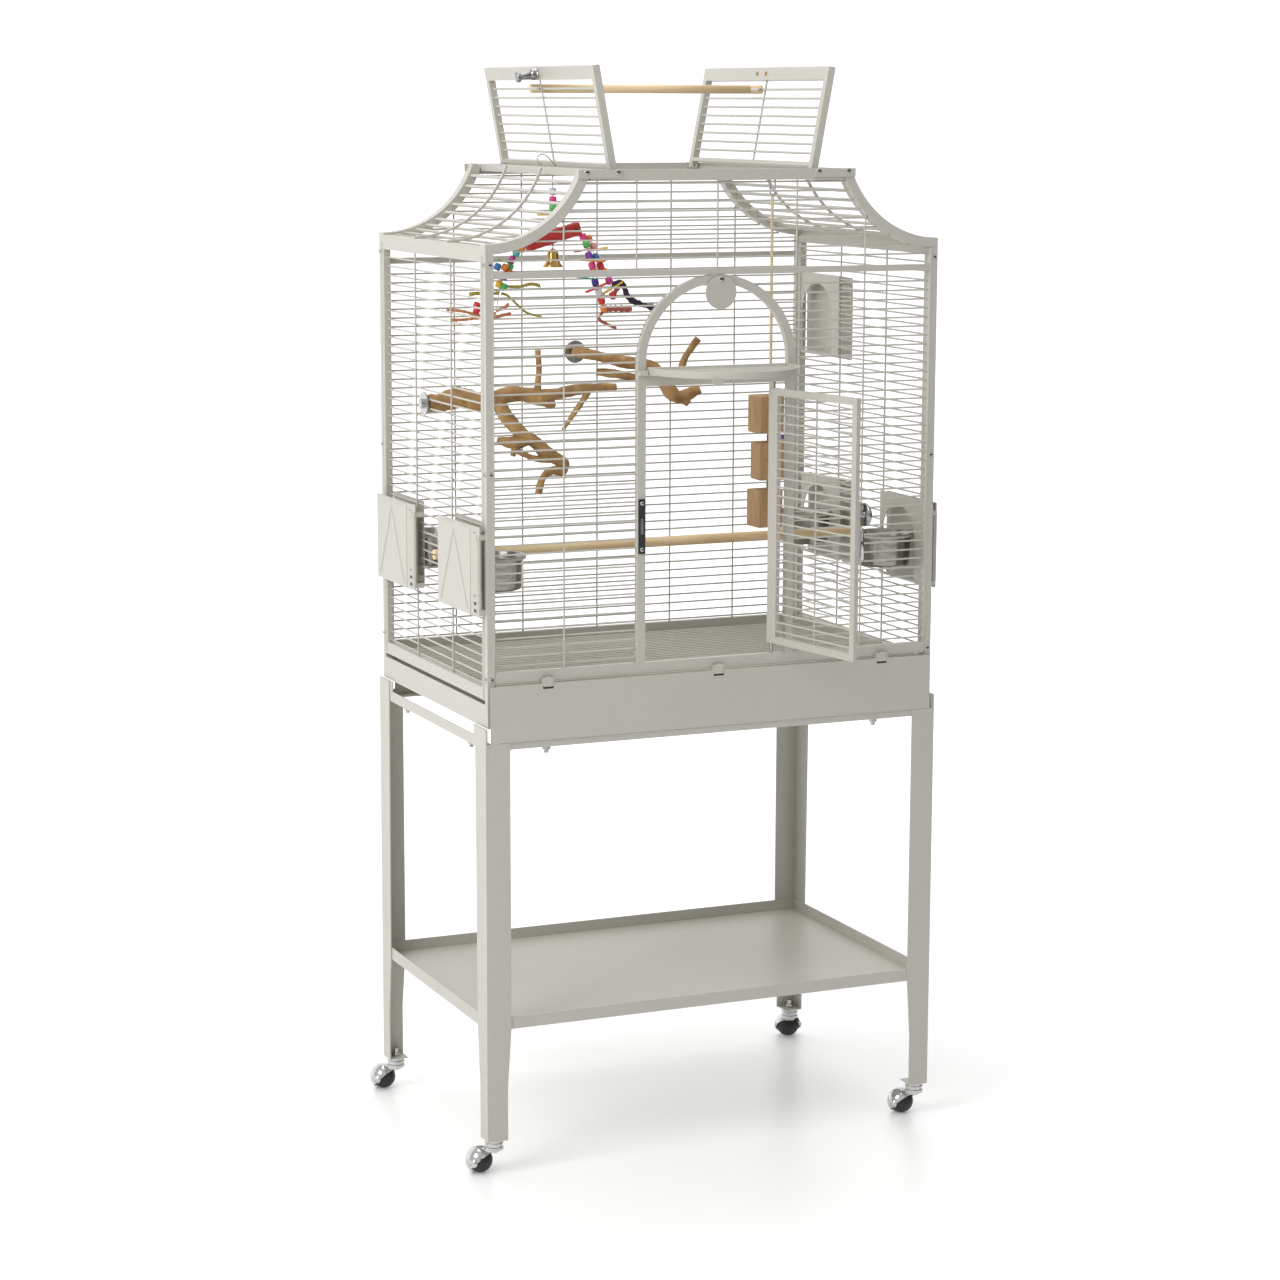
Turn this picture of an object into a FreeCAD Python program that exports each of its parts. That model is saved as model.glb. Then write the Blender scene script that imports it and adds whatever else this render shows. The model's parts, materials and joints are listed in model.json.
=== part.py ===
import FreeCAD, Part
import math
import os

# A bird cage on a wheeled stand: wire walls, a swept roof with two flaps, a front door,
# a landing flap, swing-out feeders and a drawer, in the pose of the photograph.
# Millimetres. X to the right, Y to the back, Z up, origin on the floor under the cage's centre.

# Cage body
cage_width = 810.0
cage_depth = 515.0
frame_depth = 12.0      # thickness of a wall's frame bars, through the wall
stile_width = 14.0      # uprights of the front and back walls
side_stile = 12.0       # uprights of the side walls
seam = 0.05             # gap between bars that are welded or screwed together
running = 0.05          # radial clearance of a pin in its hole

# Heights: the stand's top above the floor, then steps from one level to the next
leg_bottom = 61.0
shelf_bottom = 250.0
stand_top = 755.0
rail_drop = 36.0        # underside of the stand's rails below its top
apron_drop = 24.0
skirt_height = 38.0
side_rail_rise = 45.0
side_rail_height = 20.0
apron_rise = 69.0
front_rail_rise = 73.0
front_rail_height = 18.0
door_opening = 454.0
door_head_height = 17.0
arch_rise = 19.0        # arch's centre above the head rail
mid_rail_height = 10.0
eave_rise = 44.0        # eave above the mid rail

# Wires
wire_d = 3.0
wire_pitch = 15.15
first_wire_rise = 8.2   # lowest front wire above the bottom rail
wire_layer = 3.1        # from the centre of a horizontal wire to that of an upright one
front_uprights = (143.5, 270.0)
side_uprights = (-86.0, 86.0)

# Roof
roof_radius = 174.6
roof_rise = 116.0
gable_bar = 16.0        # width of the curved bars
roof_end_bar = 10.0
roof_rib = 6.0
roof_rib_thick = 3.5
roof_rib_y = 79.0
roof_bar_width = 4.5
roof_bar_count = 10
top_rail_drop = 18.0
roof_side_rail = 16.0
roof_inner_rail = 11.0
rail_flap_gap = 10.0    # from the roof's inner rail to the flap's hinge line

# Roof flaps
flap_hinge_inset = 46.406   # hinge line in from the foot of the gable's curve
flap_hinge_drop = 4.0   # hinge line below the top of the roof
flap_meet = 8.0         # free edge from the cage's middle, closed
flap_thick = 12.0
flap_bar = 13.0
flap_free_rail = 22.0
flap_tail = 5.0         # side bar past the hinge line
flap_edge_gap = 2.0     # from the flap's end to the wall's top rail
flap_lean = 10.5        # degrees past upright in the open pose
flap_wire_count = 8
flap_wire_d = 4.0
flap_center_bar = 5.0
flap_center_thick = 1.5
flap_pin_r = 2.5
flap_pin_reach = 10.0
bracket_length = 75.0
bracket_height = 14.0
bracket_thick = 2.5
roof_knob = ((0, 0), (8, 0), (8, 5), (5.5, 8), (5.5, 30), (9, 34), (9, 38), (7, 40), (0, 40))

# Front door
door_post_inner = 128.0
door_post_width = 14.0
door_pivot_x = 105.0
door_pivot_edge = 8.0   # door edge past the pivot
door_reach = 226.0      # pivot to free edge
door_bottom_gap = 17.0  # above the bottom rail
door_top_gap = 10.0     # below the head rail
door_bar = 12.0
door_thick = 8.0
door_open = 101.0       # degrees
door_pin_r = 3.0
door_pin_reach = 9.0
pin_end = 1.0           # free space past the end of a pin
latch_rise = 25.0       # latch knob above the door's middle
latch_plate_up = 22.0
latch_plate_down = 78.0
latch_plate_thick = 3.0
latch_plate_edge = 1.0
latch_neck = 8.0
latch_neck_r = 5.0
latch_knob_r = 19.0
latch_knob_thick = 6.0
strike_up = 40.0        # strike plate above and below the door's middle
strike_down = 50.0
strike_thick = 2.0
strike_screw_r = 3.5
strike_screw_edge = 7.0

# Arch and landing flap
arch_outer = 142.0
arch_width = 14.0
landing_gap = 2.0       # between the landing flap and the arch
landing_rim = 4.0
landing_rim_height = 11.0
landing_rail = 8.0
landing_hinge_rise = 5.0    # hinge line above the head rail
landing_hinge_out = 4.5     # hinge line in front of the wall
landing_hinge_low = 2.0     # hinge line above the rim's underside
landing_pin_r = 2.0
landing_tab_angle = 118.0
landing_tab_r = 11.0
disc_r = 27.5
disc_hang = 21.5        # screw to the disc's centre
disc_thick = 1.5
disc_stand = 2.0        # disc in front of the wall
disc_screw_r = 3.0
disc_x = 3.6

# Feeders
feeder_width = 185.0
feeder_front_inset = 5.5        # front plate's front edge behind the cage's front
feeder_back_inset = 201.5       # back plate's front edge ahead of the cage's back
upper_feeder_inset = 187.5      # upper plate's front edge ahead of the cage's back
feeder_row = 6          # row of wire at the lower hinge lug
upper_feeder_row = 30
feeder_rows = 8         # rows between the two lugs
feeder_below = 7.6      # plate below the lower lug's row
feeder_above = 17.1     # plate above the upper lug's row
feeder_plate = 1.5
feeder_stand = 13.0     # inner face of the outer plate, outside the wall
feeder_strip = 32.0     # bent strip along the hinge
feeder_bend = 4.0       # how far the strip's edge is bent towards the wall
feeder_ridge_r = 1.2
feeder_ridge_drop = 15.0    # where the two ridges meet, below the plate's top
feeder_ridge_inset = 14.0
feeder_ridge_rise = 8.0
feeder_pivot_out = 9.5
feeder_pivot_edge = 5.0
feeder_knuckle_r = 4.0
feeder_pin_r = 2.0
feeder_pin_reach = 12.0
feeder_lug_height = 8.0
feeder_inner_edge = 12.3    # inner plate's ends behind the outer plate's front edge
feeder_inner_end = 166.0
feeder_inner_lift = 4.0
feeder_hole_from = 40.0
feeder_hole_to = 158.0
feeder_hole_rise = 9.0
feeder_hole_shoulder = 86.0
feeder_hole_top = 132.0
bowl_along = 85.0       # bowl's centre behind the outer plate's front edge
bowl_inside = 47.0      # bowl's centre inside the wall
bowl_r = 48.5
bowl_foot_r = 45.0
bowl_height = 55.0
bowl_wall = 1.2
bowl_lip = 3.0
ring_width = 4.0
ring_height = 4.0
ring_rise = 83.0        # ring's underside above the plate's lower edge
arm_spread = 22.0
arm_size = 4.0

# Stand
stand_overhang = 6.0
sheet = 2.0
leg_front_top = 42.5
leg_front_foot = 36.0
leg_side_top = 50.0
leg_side_shelf = 44.0
leg_side_foot = 34.0
leg_foot_height = 90.0
rail_height = 18.0
rail_flange = 25.0
ear_length = 60.0
shelf_rim = 21.0
shelf_clear = 0.3
gusset = 34.0
shelf_screw_r = 5.0
shelf_screw_inset = 10.0
bolt_inset_x = 111.0    # bolts of the long rails from the stand's corner
bolt_inset_y = 105.5    # bolts of the short rails from the stand's corner
apron_gap = 0.5         # between the apron and the legs under it

# Casters
caster_inset = 17.0     # stem from the leg's corner
wheel_r = 21.0
hood_gap = 1.8
hood_thick = 1.7
hood_cut = 4.0          # hood's edge below the wheel's centre, square to its slope
caster_trail = 26.0
axle_r = 2.5
swivel_r = 16.0
swivel_thick = 5.0
neck_half = 7.8
swivel_gap = 0.3
stem_r = 4.0
collar_r = 14.5
nut_r = 7.0
nut_height = 6.0
stem_top = 14.0         # stem above the foot plate
caster_turn = {"front_left": 132.0, "front_right": 117.0, "back_left": 130.0, "back_right": 70.0}

# Drawer and grate
ledge_width = 22.0
ledge_thick = 2.0
tray_gap = 3.0          # beside the drawer
tray_lift = 0.3
tray_wall = 1.5
tray_height = 44.0
tray_back_gap = 16.0
apron_side_gap = 3.0
apron_front = 6.0       # apron's outer face in front of the front wall
tab_width = 22.0
tab_height = 10.0
tab_x = (-302.0, 3.0, 308.0)
grate_rod = 4.0
grate_rod_count = 6
grate_edge = 6.0

# Screws
screw_head_r = 4.0
screw_head = 2.0
head_ratio = 1.6        # a pin's head against its radius

# Perch and branches; a branch is points with radii, counted from its stud on the wall
perch_d = 17.0
perch_slot = 4.0
perch_slot_depth = 20.0
perch_row = 10          # row of wire that the perch's forked ends straddle
perch_poke = 5.0        # fork past the wall's wires
branch_stud_r = 3.0
washer_r = 20.0
wing_nut_r = 8.0
left_branch_y = 40.7
left_branch_row = 26    # the stud is between this row of wire and the next
left_branch = (
    ((0, 0, 0, 17.5), (20, 0, 0, 17.5), (55, -5, 7, 17), (118, -11, 6, 15), (156, -15, 13, 13.5),
     (191, -19, 6, 14), (232, -25, 12, 11), (280, -33, 19, 8), (325, -41, 20, 6.5)),
    ((191, -19, 6, 5.5), (187, -27, 84, 4.5)),
    ((280, -33, 19, 4.5), (223, -51, -47, 4)),
    ((118, -11, 6, 13), (140, -19, -36, 13), (173, -27, -64, 12), (206, -35, -92, 11), (227, -41, -106, 10),
     (227, -41, -123, 8), (197, -49, -121, 7), (176, -55, -151, 5)),
    ((173, -27, -68, 10), (117, -16, -65, 8)),
    ((206, -35, -98, 7), (144, -25, -90, 5.5)),
)
back_branch_x = -41.0
back_branch_row = 30
back_branch = (
    ((0, 0, 0, 10), (0, -16, 0, 10), (79, -33, -18, 11), (123, -53, -28, 12), (147, -78, -68, 12),
     (158, -88, -78, 12), (192, -108, -63, 8)),
    ((123, -53, -30, 8), (96, -43, -46, 7), (30, -17, -36, 6)),
    ((138, -68, -52, 8), (162, -83, -36, 7), (192, -98, 25, 6)),
)

# Toys
hook_r = 1.2
toy_hang_gap = 0.3
bar_toy_y = -20.0
bar_toy_drop = 103.0
toy_bar_length = 100.0
toy_bar_height = 22.0
toy_bar_thick = 14.0
toy_bar_tilt = 16.0
bead_r = 6.5
bead_length = 13.0
bead_gap = 0.3
bead_drop = 25.0        # first bead on the hook below the rail
bead_count = 3
strand_beads = {-1: 4, 1: 8}    # beads under the bar's left and right ends
bell_link = 9.0
bell_tip = 2.0          # pointed top of the bell's link
bell_tip_r = 0.3
bell_wall = 1.2
bell_profile = ((4.0, 0.0), (9.0, 6.0), (11.0, 20.0), (17.0, 30.0))     # radius and depth
box_toy_y = -55.0
clip_length = 38.0
clip_width = 12.0
clip_thick = 4.0
clip_bar = 2.5
rope_r = 3.0
rope_length = 339.0
carton_size = (48.0, 46.0, 65.0)
carton_gap = 16.5
carton_shift = (-8.0, -4.0, -9.0)

half_w = cage_width / 2
half_d = cage_depth / 2
stand_bottom = stand_top - rail_drop
apron_bottom = stand_top - apron_drop
skirt_top = stand_top + skirt_height
side_rail_bottom = stand_top + side_rail_rise
side_rail_top = side_rail_bottom + side_rail_height
apron_top = stand_top + apron_rise
front_rail_bottom = stand_top + front_rail_rise
front_rail_top = front_rail_bottom + front_rail_height
door_head_bottom = front_rail_top + door_opening
door_head_top = door_head_bottom + door_head_height
landing_hinge_z = door_head_top + landing_hinge_rise
arch_center_z = door_head_top + arch_rise
mid_rail_bottom = arch_center_z + arch_outer
mid_rail_top = mid_rail_bottom + mid_rail_height
eave = mid_rail_top + eave_rise
first_wire = front_rail_top + first_wire_rise
feeder_height = feeder_below + feeder_rows * wire_pitch + feeder_above
roof_top = eave + roof_rise
roof_center_z = eave + roof_radius
roof_angle = math.degrees(math.acos((roof_radius - roof_rise) / roof_radius))
gable_foot = half_w - (roof_radius + gable_bar) * math.sin(math.radians(roof_angle)) - seam
flap_hinge_x = gable_foot - flap_hinge_inset
flap_hinge_z = roof_top - flap_hinge_drop
flap_length = flap_hinge_x - flap_meet
wire_r = wire_d / 2
V = FreeCAD.Vector
X_AXIS = V(1, 0, 0)
Y_AXIS = V(0, 1, 0)
Z_AXIS = V(0, 0, 1)


nodes = {}


def save(name, shapes):
    """Adds solids to a named piece."""
    nodes.setdefault(name, []).extend(shapes)


def box(x, y, z):
    """A box between two values of each coordinate."""
    low = V(min(x), min(y), min(z))
    return Part.makeBox(max(x) - low.x, max(y) - low.y, max(z) - low.z, low)


def rod(start, end, radius):
    """A round rod between two points."""
    a, b = V(*start), V(*end)
    return Part.makeCylinder(radius, (b - a).Length, a, b - a)


def tube(start, end, radius, bore):
    return rod(start, end, radius).cut(rod(start, end, bore))


def prism(points, along):
    """A flat outline pushed along a vector."""
    wire = Part.makePolygon([V(*p) for p in points] + [V(*points[0])])
    return Part.Face(wire).extrude(V(*along))


def revolved(profile, center):
    """A profile of radius and height, turned about an upright line."""
    points = [V(center[0] + r, center[1], center[2] + z) for r, z in profile]
    face = Part.Face(Part.makePolygon(points + [points[0]]))
    return face.revolve(V(*center), Z_AXIS, 360)


def turned(shapes, center, axis, degrees):
    return [s.copy().rotate(V(*center), axis, degrees) for s in shapes]


def mirrored_x(shapes):
    return [s.mirror(V(0, 0, 0), X_AXIS) for s in shapes]


def mirrored_y(shapes):
    return [s.mirror(V(0, 0, 0), Y_AXIS) for s in shapes]


def arc_band(center_x, center_z, inner, outer, start, end, y):
    """A curved bar in an upright plane; angles in degrees from +X towards +Z."""
    def at(radius, angle):
        a = math.radians(angle)
        return V(center_x + radius * math.cos(a), y[0], center_z + radius * math.sin(a))
    middle = (start + end) / 2
    edges = [
        Part.Arc(at(inner, start), at(inner, middle), at(inner, end)).toShape(),
        Part.makeLine(at(inner, end), at(outer, end)),
        Part.Arc(at(outer, end), at(outer, middle), at(outer, start)).toShape(),
        Part.makeLine(at(outer, start), at(inner, start)),
    ]
    return Part.Face(Part.Wire(edges)).extrude(V(0, y[1] - y[0], 0))


def row_height(row):
    """Height of a row of wire, counted up from the front wall's bottom rail."""
    return first_wire + row * wire_pitch


def wire_rows(low, high):
    """Heights of the wires that fit between two heights."""
    first = math.ceil((low + wire_d - first_wire) / wire_pitch)
    last = math.floor((high - wire_d - first_wire) / wire_pitch)
    return [row_height(k) for k in range(first, last + 1)]


# Front and back walls

def gable_edge(z):
    """Distance from the centre line to the curved bar's underside at a height."""
    drop = roof_center_z - z
    reach = math.sqrt(max((roof_radius + gable_bar) ** 2 - drop ** 2, 0))
    return half_w - max(reach, stile_width) - seam


def gable_bars(y):
    left = arc_band(-half_w, roof_center_z, roof_radius, roof_radius + gable_bar, -90, -90 + roof_angle, y)
    return [left] + mirrored_x([left])


def wall_frame(y, rail):
    """Frame of the front or back wall, its bottom rail between two heights."""
    stile_top = eave - gable_bar - seam
    stile = box((-half_w, -half_w + stile_width), y, (stand_top, stile_top))
    inner = half_w - stile_width - seam
    return [
        stile,
        *mirrored_x([stile]),
        box((-inner, inner), y, rail),
        box((-inner, inner), y, (mid_rail_bottom, mid_rail_top)),
        box((-gable_foot, gable_foot), y, (roof_top - top_rail_drop, roof_top)),
        *gable_bars(y),
    ]


def upper_wires(row_y, upright_y):
    """Wires between the mid rail and the roof."""
    top = roof_top - top_rail_drop
    bars = []
    for z in wire_rows(mid_rail_top, top):
        reach = gable_edge(z + wire_r)
        bars.append(rod((-reach, row_y, z), (reach, row_y, z), wire_r))
    for x in (0.0, *front_uprights, *[-u for u in front_uprights]):
        aside = half_w - abs(x) - wire_r
        lift = math.sqrt(max((roof_radius + gable_bar) ** 2 - aside ** 2, 0))
        high = min(top, roof_center_z - lift) - seam
        bars.append(rod((x, upright_y, mid_rail_top + seam), (x, upright_y, high), wire_r))
    return bars


def front_panel():
    y = (-half_d, -half_d + frame_depth)
    row_y = sum(y) / 2 + wire_layer / 2
    upright_y = row_y - wire_layer
    post_outer = door_post_inner + door_post_width
    post = box((-post_outer, -door_post_inner), y, (front_rail_top + seam, arch_center_z))
    head = door_post_inner - seam
    shapes = wall_frame(y, (front_rail_bottom, front_rail_top)) + [post, *mirrored_x([post])]
    shapes.append(box((-head, head), y, (door_head_bottom, door_head_top)))
    side_wires = []
    for z in wire_rows(front_rail_top, mid_rail_bottom):
        rise = z - wire_r - arch_center_z
        inner = post_outer if rise <= 0 else math.sqrt(max(arch_outer ** 2 - rise ** 2, 0))
        outer = half_w - stile_width - seam
        side_wires.append(rod((-outer, row_y, z), (-inner - seam, row_y, z), wire_r))
    x = front_uprights[1]
    low, high = front_rail_top + seam, mid_rail_bottom - seam
    side_wires.append(rod((-x, upright_y, low), (-x, upright_y, high), wire_r))
    shapes += side_wires + mirrored_x(side_wires)
    save("front_panel", shapes + upper_wires(row_y, upright_y))
    crown = arc_band(0, arch_center_z + seam, arch_outer - arch_width, arch_outer - seam, 0, 180, y)
    save("arch_frame", [crown])


def back_panel():
    y = (half_d - frame_depth, half_d)
    row_y = sum(y) / 2 - wire_layer / 2
    upright_y = row_y + wire_layer
    reach = half_w - stile_width - seam
    shapes = wall_frame(y, (side_rail_bottom, side_rail_top)) + upper_wires(row_y, upright_y)
    for z in wire_rows(side_rail_top, mid_rail_bottom):
        shapes.append(rod((-reach, row_y, z), (reach, row_y, z), wire_r))
    low, high = side_rail_top + seam, mid_rail_bottom - seam
    for x in (0.0, *front_uprights, *[-u for u in front_uprights]):
        shapes.append(rod((x, upright_y, low), (x, upright_y, high), wire_r))
    save("back_panel", shapes)


# Side walls with their feeders

def feeder_units(side):
    """Front edge and lower edge of each feeder plate in a side wall."""
    units = [(feeder_front_inset - half_d, feeder_row), (half_d - feeder_back_inset, feeder_row)]
    if side > 0:
        units.append((half_d - upper_feeder_inset, upper_feeder_row))
    return [(front, row_height(row) - feeder_below) for front, row in units]


def row_spans(side, z, low, high):
    """Stretches of a side wall's wire that leave the feeder openings free."""
    holes = []
    for front, bottom in feeder_units(side):
        if bottom + feeder_hole_rise - wire_d < z < bottom + feeder_hole_top + wire_d:
            holes.append((front + feeder_hole_from, front + feeder_hole_to))
    spans, start = [], low
    for begin, end in sorted(holes):
        spans.append((start, begin))
        start = end
    return spans + [(start, high)]


def side_panel(side, name):
    x = (side * half_w, side * (half_w - frame_depth))
    row_x = sum(x) / 2 - side * wire_layer / 2
    upright_x = row_x + side * wire_layer
    end = half_d - frame_depth - seam
    inner = end - side_stile - seam
    top = eave - gable_bar - seam
    rail_top = top - frame_depth
    stile = box(x, (-end, -end + side_stile), (side_rail_bottom, top))
    shapes = [stile, *mirrored_y([stile])]
    shapes.append(box(x, (-inner, inner), (side_rail_bottom, side_rail_top)))
    shapes.append(box(x, (-inner, inner), (rail_top, top)))
    for z in wire_rows(side_rail_top, rail_top):
        for low, high in row_spans(side, z, -inner, inner):
            shapes.append(rod((row_x, low, z), (row_x, high, z), wire_r))
    for y in side_uprights:
        start = (upright_x, y, side_rail_top + seam)
        shapes.append(rod(start, (upright_x, y, rail_top - seam), wire_r))
    save(name, shapes)


def wire_inner_face():
    """How far the wires' inner faces lie inside a side wall's outer face."""
    return frame_depth / 2 + wire_layer / 2 + wire_r


def feeder_frame(side, front, bottom):
    """Inner plate with an arched opening, seated on the wires."""
    inside = half_w - wire_inner_face() - seam
    y0, y1 = front + feeder_hole_from, front + feeder_hole_to
    low, crown = bottom + feeder_hole_rise, bottom + feeder_hole_top
    shoulder = bottom + feeder_hole_shoulder
    corners = [V(inside, y0, shoulder), V(inside, y0, low), V(inside, y1, low), V(inside, y1, shoulder)]
    arch = Part.Arc(corners[3], V(inside, (y0 + y1) / 2, crown), corners[0]).toShape()
    hole = Part.Face(Part.Wire(Part.makePolygon(corners).Edges + [arch])).extrude(V(-feeder_plate, 0, 0))
    stile_face = half_d - frame_depth - side_stile - 2 * seam
    y = (max(front + feeder_inner_edge, -stile_face), min(front + feeder_inner_end, stile_face))
    z = bottom + feeder_inner_lift
    plate = box((inside - feeder_plate, inside), y, (z, z + feeder_height)).cut(hole)
    return [plate] if side > 0 else mirrored_x([plate])


def feeder_pivot(front):
    return half_w + feeder_pivot_out, front + feeder_pivot_edge


def lug_heights(bottom):
    """Wire rows that carry a feeder's two hinge lugs."""
    low = bottom + feeder_below
    return low, low + feeder_rows * wire_pitch


def feeder_hinge(side, front, bottom):
    """Two lugs with pins: on the corner stile, or on the wires."""
    x, y = feeder_pivot(front)
    on_stile = front < -half_d + frame_depth + side_stile
    seat = half_w + seam if on_stile else half_w - wire_inner_face() + wire_d + seam
    shapes = []
    half_y, half_z = feeder_knuckle_r, feeder_lug_height / 2
    for z, way in zip(lug_heights(bottom), (1, -1)):
        lug = box((seat, x + feeder_pin_r), (y - half_y, y + half_y), (z - half_z, z + half_z))
        tip = z + way * (half_z + feeder_pin_reach)
        shapes.append(lug.fuse(rod((x, y, z), (x, y, tip), feeder_pin_r)))
    return shapes if side > 0 else mirrored_x(shapes)


def feeder_door(side, front, bottom, with_ring):
    """Outer plate on a hinge tube, with two ridges, and the arms and ring of its bowl."""
    x, y = feeder_pivot(front)
    back = half_w + feeder_stand
    face = back + feeder_plate
    bend, edge = front + feeder_strip, front + feeder_width
    outline = [(face, edge), (face, bend), (face - feeder_bend, front)]
    outline += [(back - feeder_bend, front), (back, bend), (back, edge)]
    plate = prism([(*p, bottom) for p in outline], (0, 0, feeder_height))
    peak = (face, (bend + edge) / 2, bottom + feeder_height - feeder_ridge_drop)
    feet = bend + feeder_ridge_inset, edge - feeder_ridge_inset
    ridges = [rod(peak, (face, foot, bottom + feeder_ridge_rise), feeder_ridge_r) for foot in feet]
    low, high = lug_heights(bottom)
    gap = feeder_lug_height / 2 + 2 * seam
    ends = (x, y, low + gap), (x, y, high - gap)
    plate = plate.fuse(ridges + [rod(*ends, feeder_knuckle_r)]).cut(rod(*ends, feeder_pin_r + running))
    notch_y = (front - feeder_plate, y + feeder_knuckle_r + feeder_plate)
    for z in (low, high):
        plate = plate.cut(box((half_w, face + feeder_plate), notch_y, (z - gap, z + gap)))
    shapes = [plate.removeSplitter()]
    if with_ring:
        center = (half_w - bowl_inside, front + bowl_along, bottom + ring_rise)
        inner = bowl_r + seam
        outer = inner + ring_width
        top = (center[0], center[1], center[2] + ring_height)
        shapes.append(tube(center, top, outer, inner))
        reach = center[0] + math.sqrt(outer ** 2 - (arm_spread - arm_size / 2) ** 2) + seam
        for shift in (-arm_spread, arm_spread):
            arm_y = center[1] + shift
            arm_ys = (arm_y - arm_size / 2, arm_y + arm_size / 2)
            shapes.append(box((reach, back - seam), arm_ys, (center[2], top[2])))
    return shapes if side > 0 else mirrored_x(shapes)


def bowl(side, front, bottom):
    center = (half_w - bowl_inside, front + bowl_along, bottom + ring_rise + ring_height + seam)
    profile = [
        (0, -bowl_height),
        (bowl_foot_r, -bowl_height),
        (bowl_r - seam, 0),
        (bowl_r + bowl_lip, 0),
        (bowl_r + bowl_lip, bowl_wall),
        (bowl_r - bowl_wall, bowl_wall),
        (bowl_foot_r - bowl_wall, -bowl_height + bowl_wall),
        (0, -bowl_height + bowl_wall),
    ]
    shape = revolved(profile, center)
    return [shape] if side > 0 else mirrored_x([shape])


def feeders():
    names = {(-1, 0): "left_front", (-1, 1): "left_back", (1, 0): "right_front", (1, 1): "right_back",
             (1, 2): "right_upper"}
    frames, hinges = [], []
    for (side, index), name in names.items():
        front, bottom = feeder_units(side)[index]
        with_bowl = "upper" not in name
        frames += feeder_frame(side, front, bottom)
        hinges += feeder_hinge(side, front, bottom)
        save(f"feeder_door_{name}", feeder_door(side, front, bottom, with_bowl))
        if with_bowl:
            save(f"bowl_{name}", bowl(side, front, bottom))
    save("feeder_frames", frames)
    save("hinge_lugs", hinges)


# Roof

def roof_side():
    """The left roof panel: curved end bars and ribs, straight bars along the cage's depth."""
    end = half_d - frame_depth - seam
    inner = end - roof_end_bar - seam
    shapes = []

    def curve(y, depth):
        outer = roof_radius + depth
        return arc_band(-half_w, roof_center_z, roof_radius, outer, -90, -90 + roof_angle, y)

    shapes.append(curve((-end, -end + roof_end_bar), gable_bar))
    shapes.append(curve((end - roof_end_bar, end), gable_bar))
    for y in (-roof_rib_y, roof_rib_y):
        shapes.append(curve((y - roof_rib / 2, y + roof_rib / 2), roof_rib_thick))
    bar_r = roof_radius + roof_rib_thick + seam
    for k in range(roof_bar_count):
        angle = -90 + roof_angle * (k + 1) / (roof_bar_count + 1)
        bar = box((bar_r, bar_r + roof_rib_thick), (-inner, inner),
                  (-roof_bar_width / 2, roof_bar_width / 2))
        bar.rotate(V(0, 0, 0), Y_AXIS, -angle)
        bar.translate(V(-half_w, 0, roof_center_z))
        shapes.append(bar)
    rail_z = (eave - gable_bar, eave - roof_rib_thick - seam)
    shapes.append(box((-half_w, -half_w + frame_depth), (-inner, inner), rail_z))
    rail_z = (roof_top - flap_thick, roof_top)
    shapes.append(box((-gable_foot, -gable_foot + roof_side_rail), (-end, end), rail_z))
    inner_x = flap_hinge_x + rail_flap_gap
    shapes.append(box((-inner_x - roof_inner_rail, -inner_x), (-end, end), rail_z))
    return shapes


def roof():
    left = roof_side()
    save("roof_left", left)
    save("roof_right", mirrored_x(left))


def roof_flap():
    """The left flap, closed: side bars on the pins, a wide free rail, bars and a centre bar."""
    end = half_d - frame_depth - flap_edge_gap
    x0 = -flap_hinge_x
    x1 = x0 + flap_length
    z = (flap_hinge_z - flap_thick / 2, flap_hinge_z + flap_thick / 2)
    side_bar = box((x0 - flap_tail, x1), (-end, -end + flap_bar), z)
    hole = rod((x0, -end, flap_hinge_z), (x0, -end + flap_bar, flap_hinge_z), flap_pin_r + running)
    side_bar = side_bar.cut(hole)
    inner = end - flap_bar - seam
    rail_x = x1 - flap_free_rail
    root_x = x0 + flap_bar
    shapes = [side_bar, *mirrored_y([side_bar])]
    shapes.append(box((rail_x, x1 - seam), (-inner, inner), z))
    shapes.append(box((root_x - flap_bar / 2, root_x), (-inner, inner), z))
    pitch = (rail_x - root_x) / (flap_wire_count + 1)
    for k in range(flap_wire_count):
        x = root_x + pitch * (k + 1)
        shapes.append(rod((x, -inner, flap_hinge_z), (x, inner, flap_hinge_z), flap_wire_d / 2))
    low = flap_hinge_z + flap_wire_d / 2 + seam
    bar_y = (-flap_center_bar / 2, flap_center_bar / 2)
    shapes.append(box((root_x + seam, rail_x - seam), bar_y, (low, low + flap_center_thick)))
    return shapes


def roof_latch():
    """Pull knob standing on the left flap's free rail, closed, with its catch plate below."""
    x = -flap_hinge_x + flap_length - flap_free_rail / 2
    z = flap_hinge_z + flap_thick / 2 + seam
    knob = revolved(roof_knob, (x, 0, z))
    return [knob]


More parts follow.
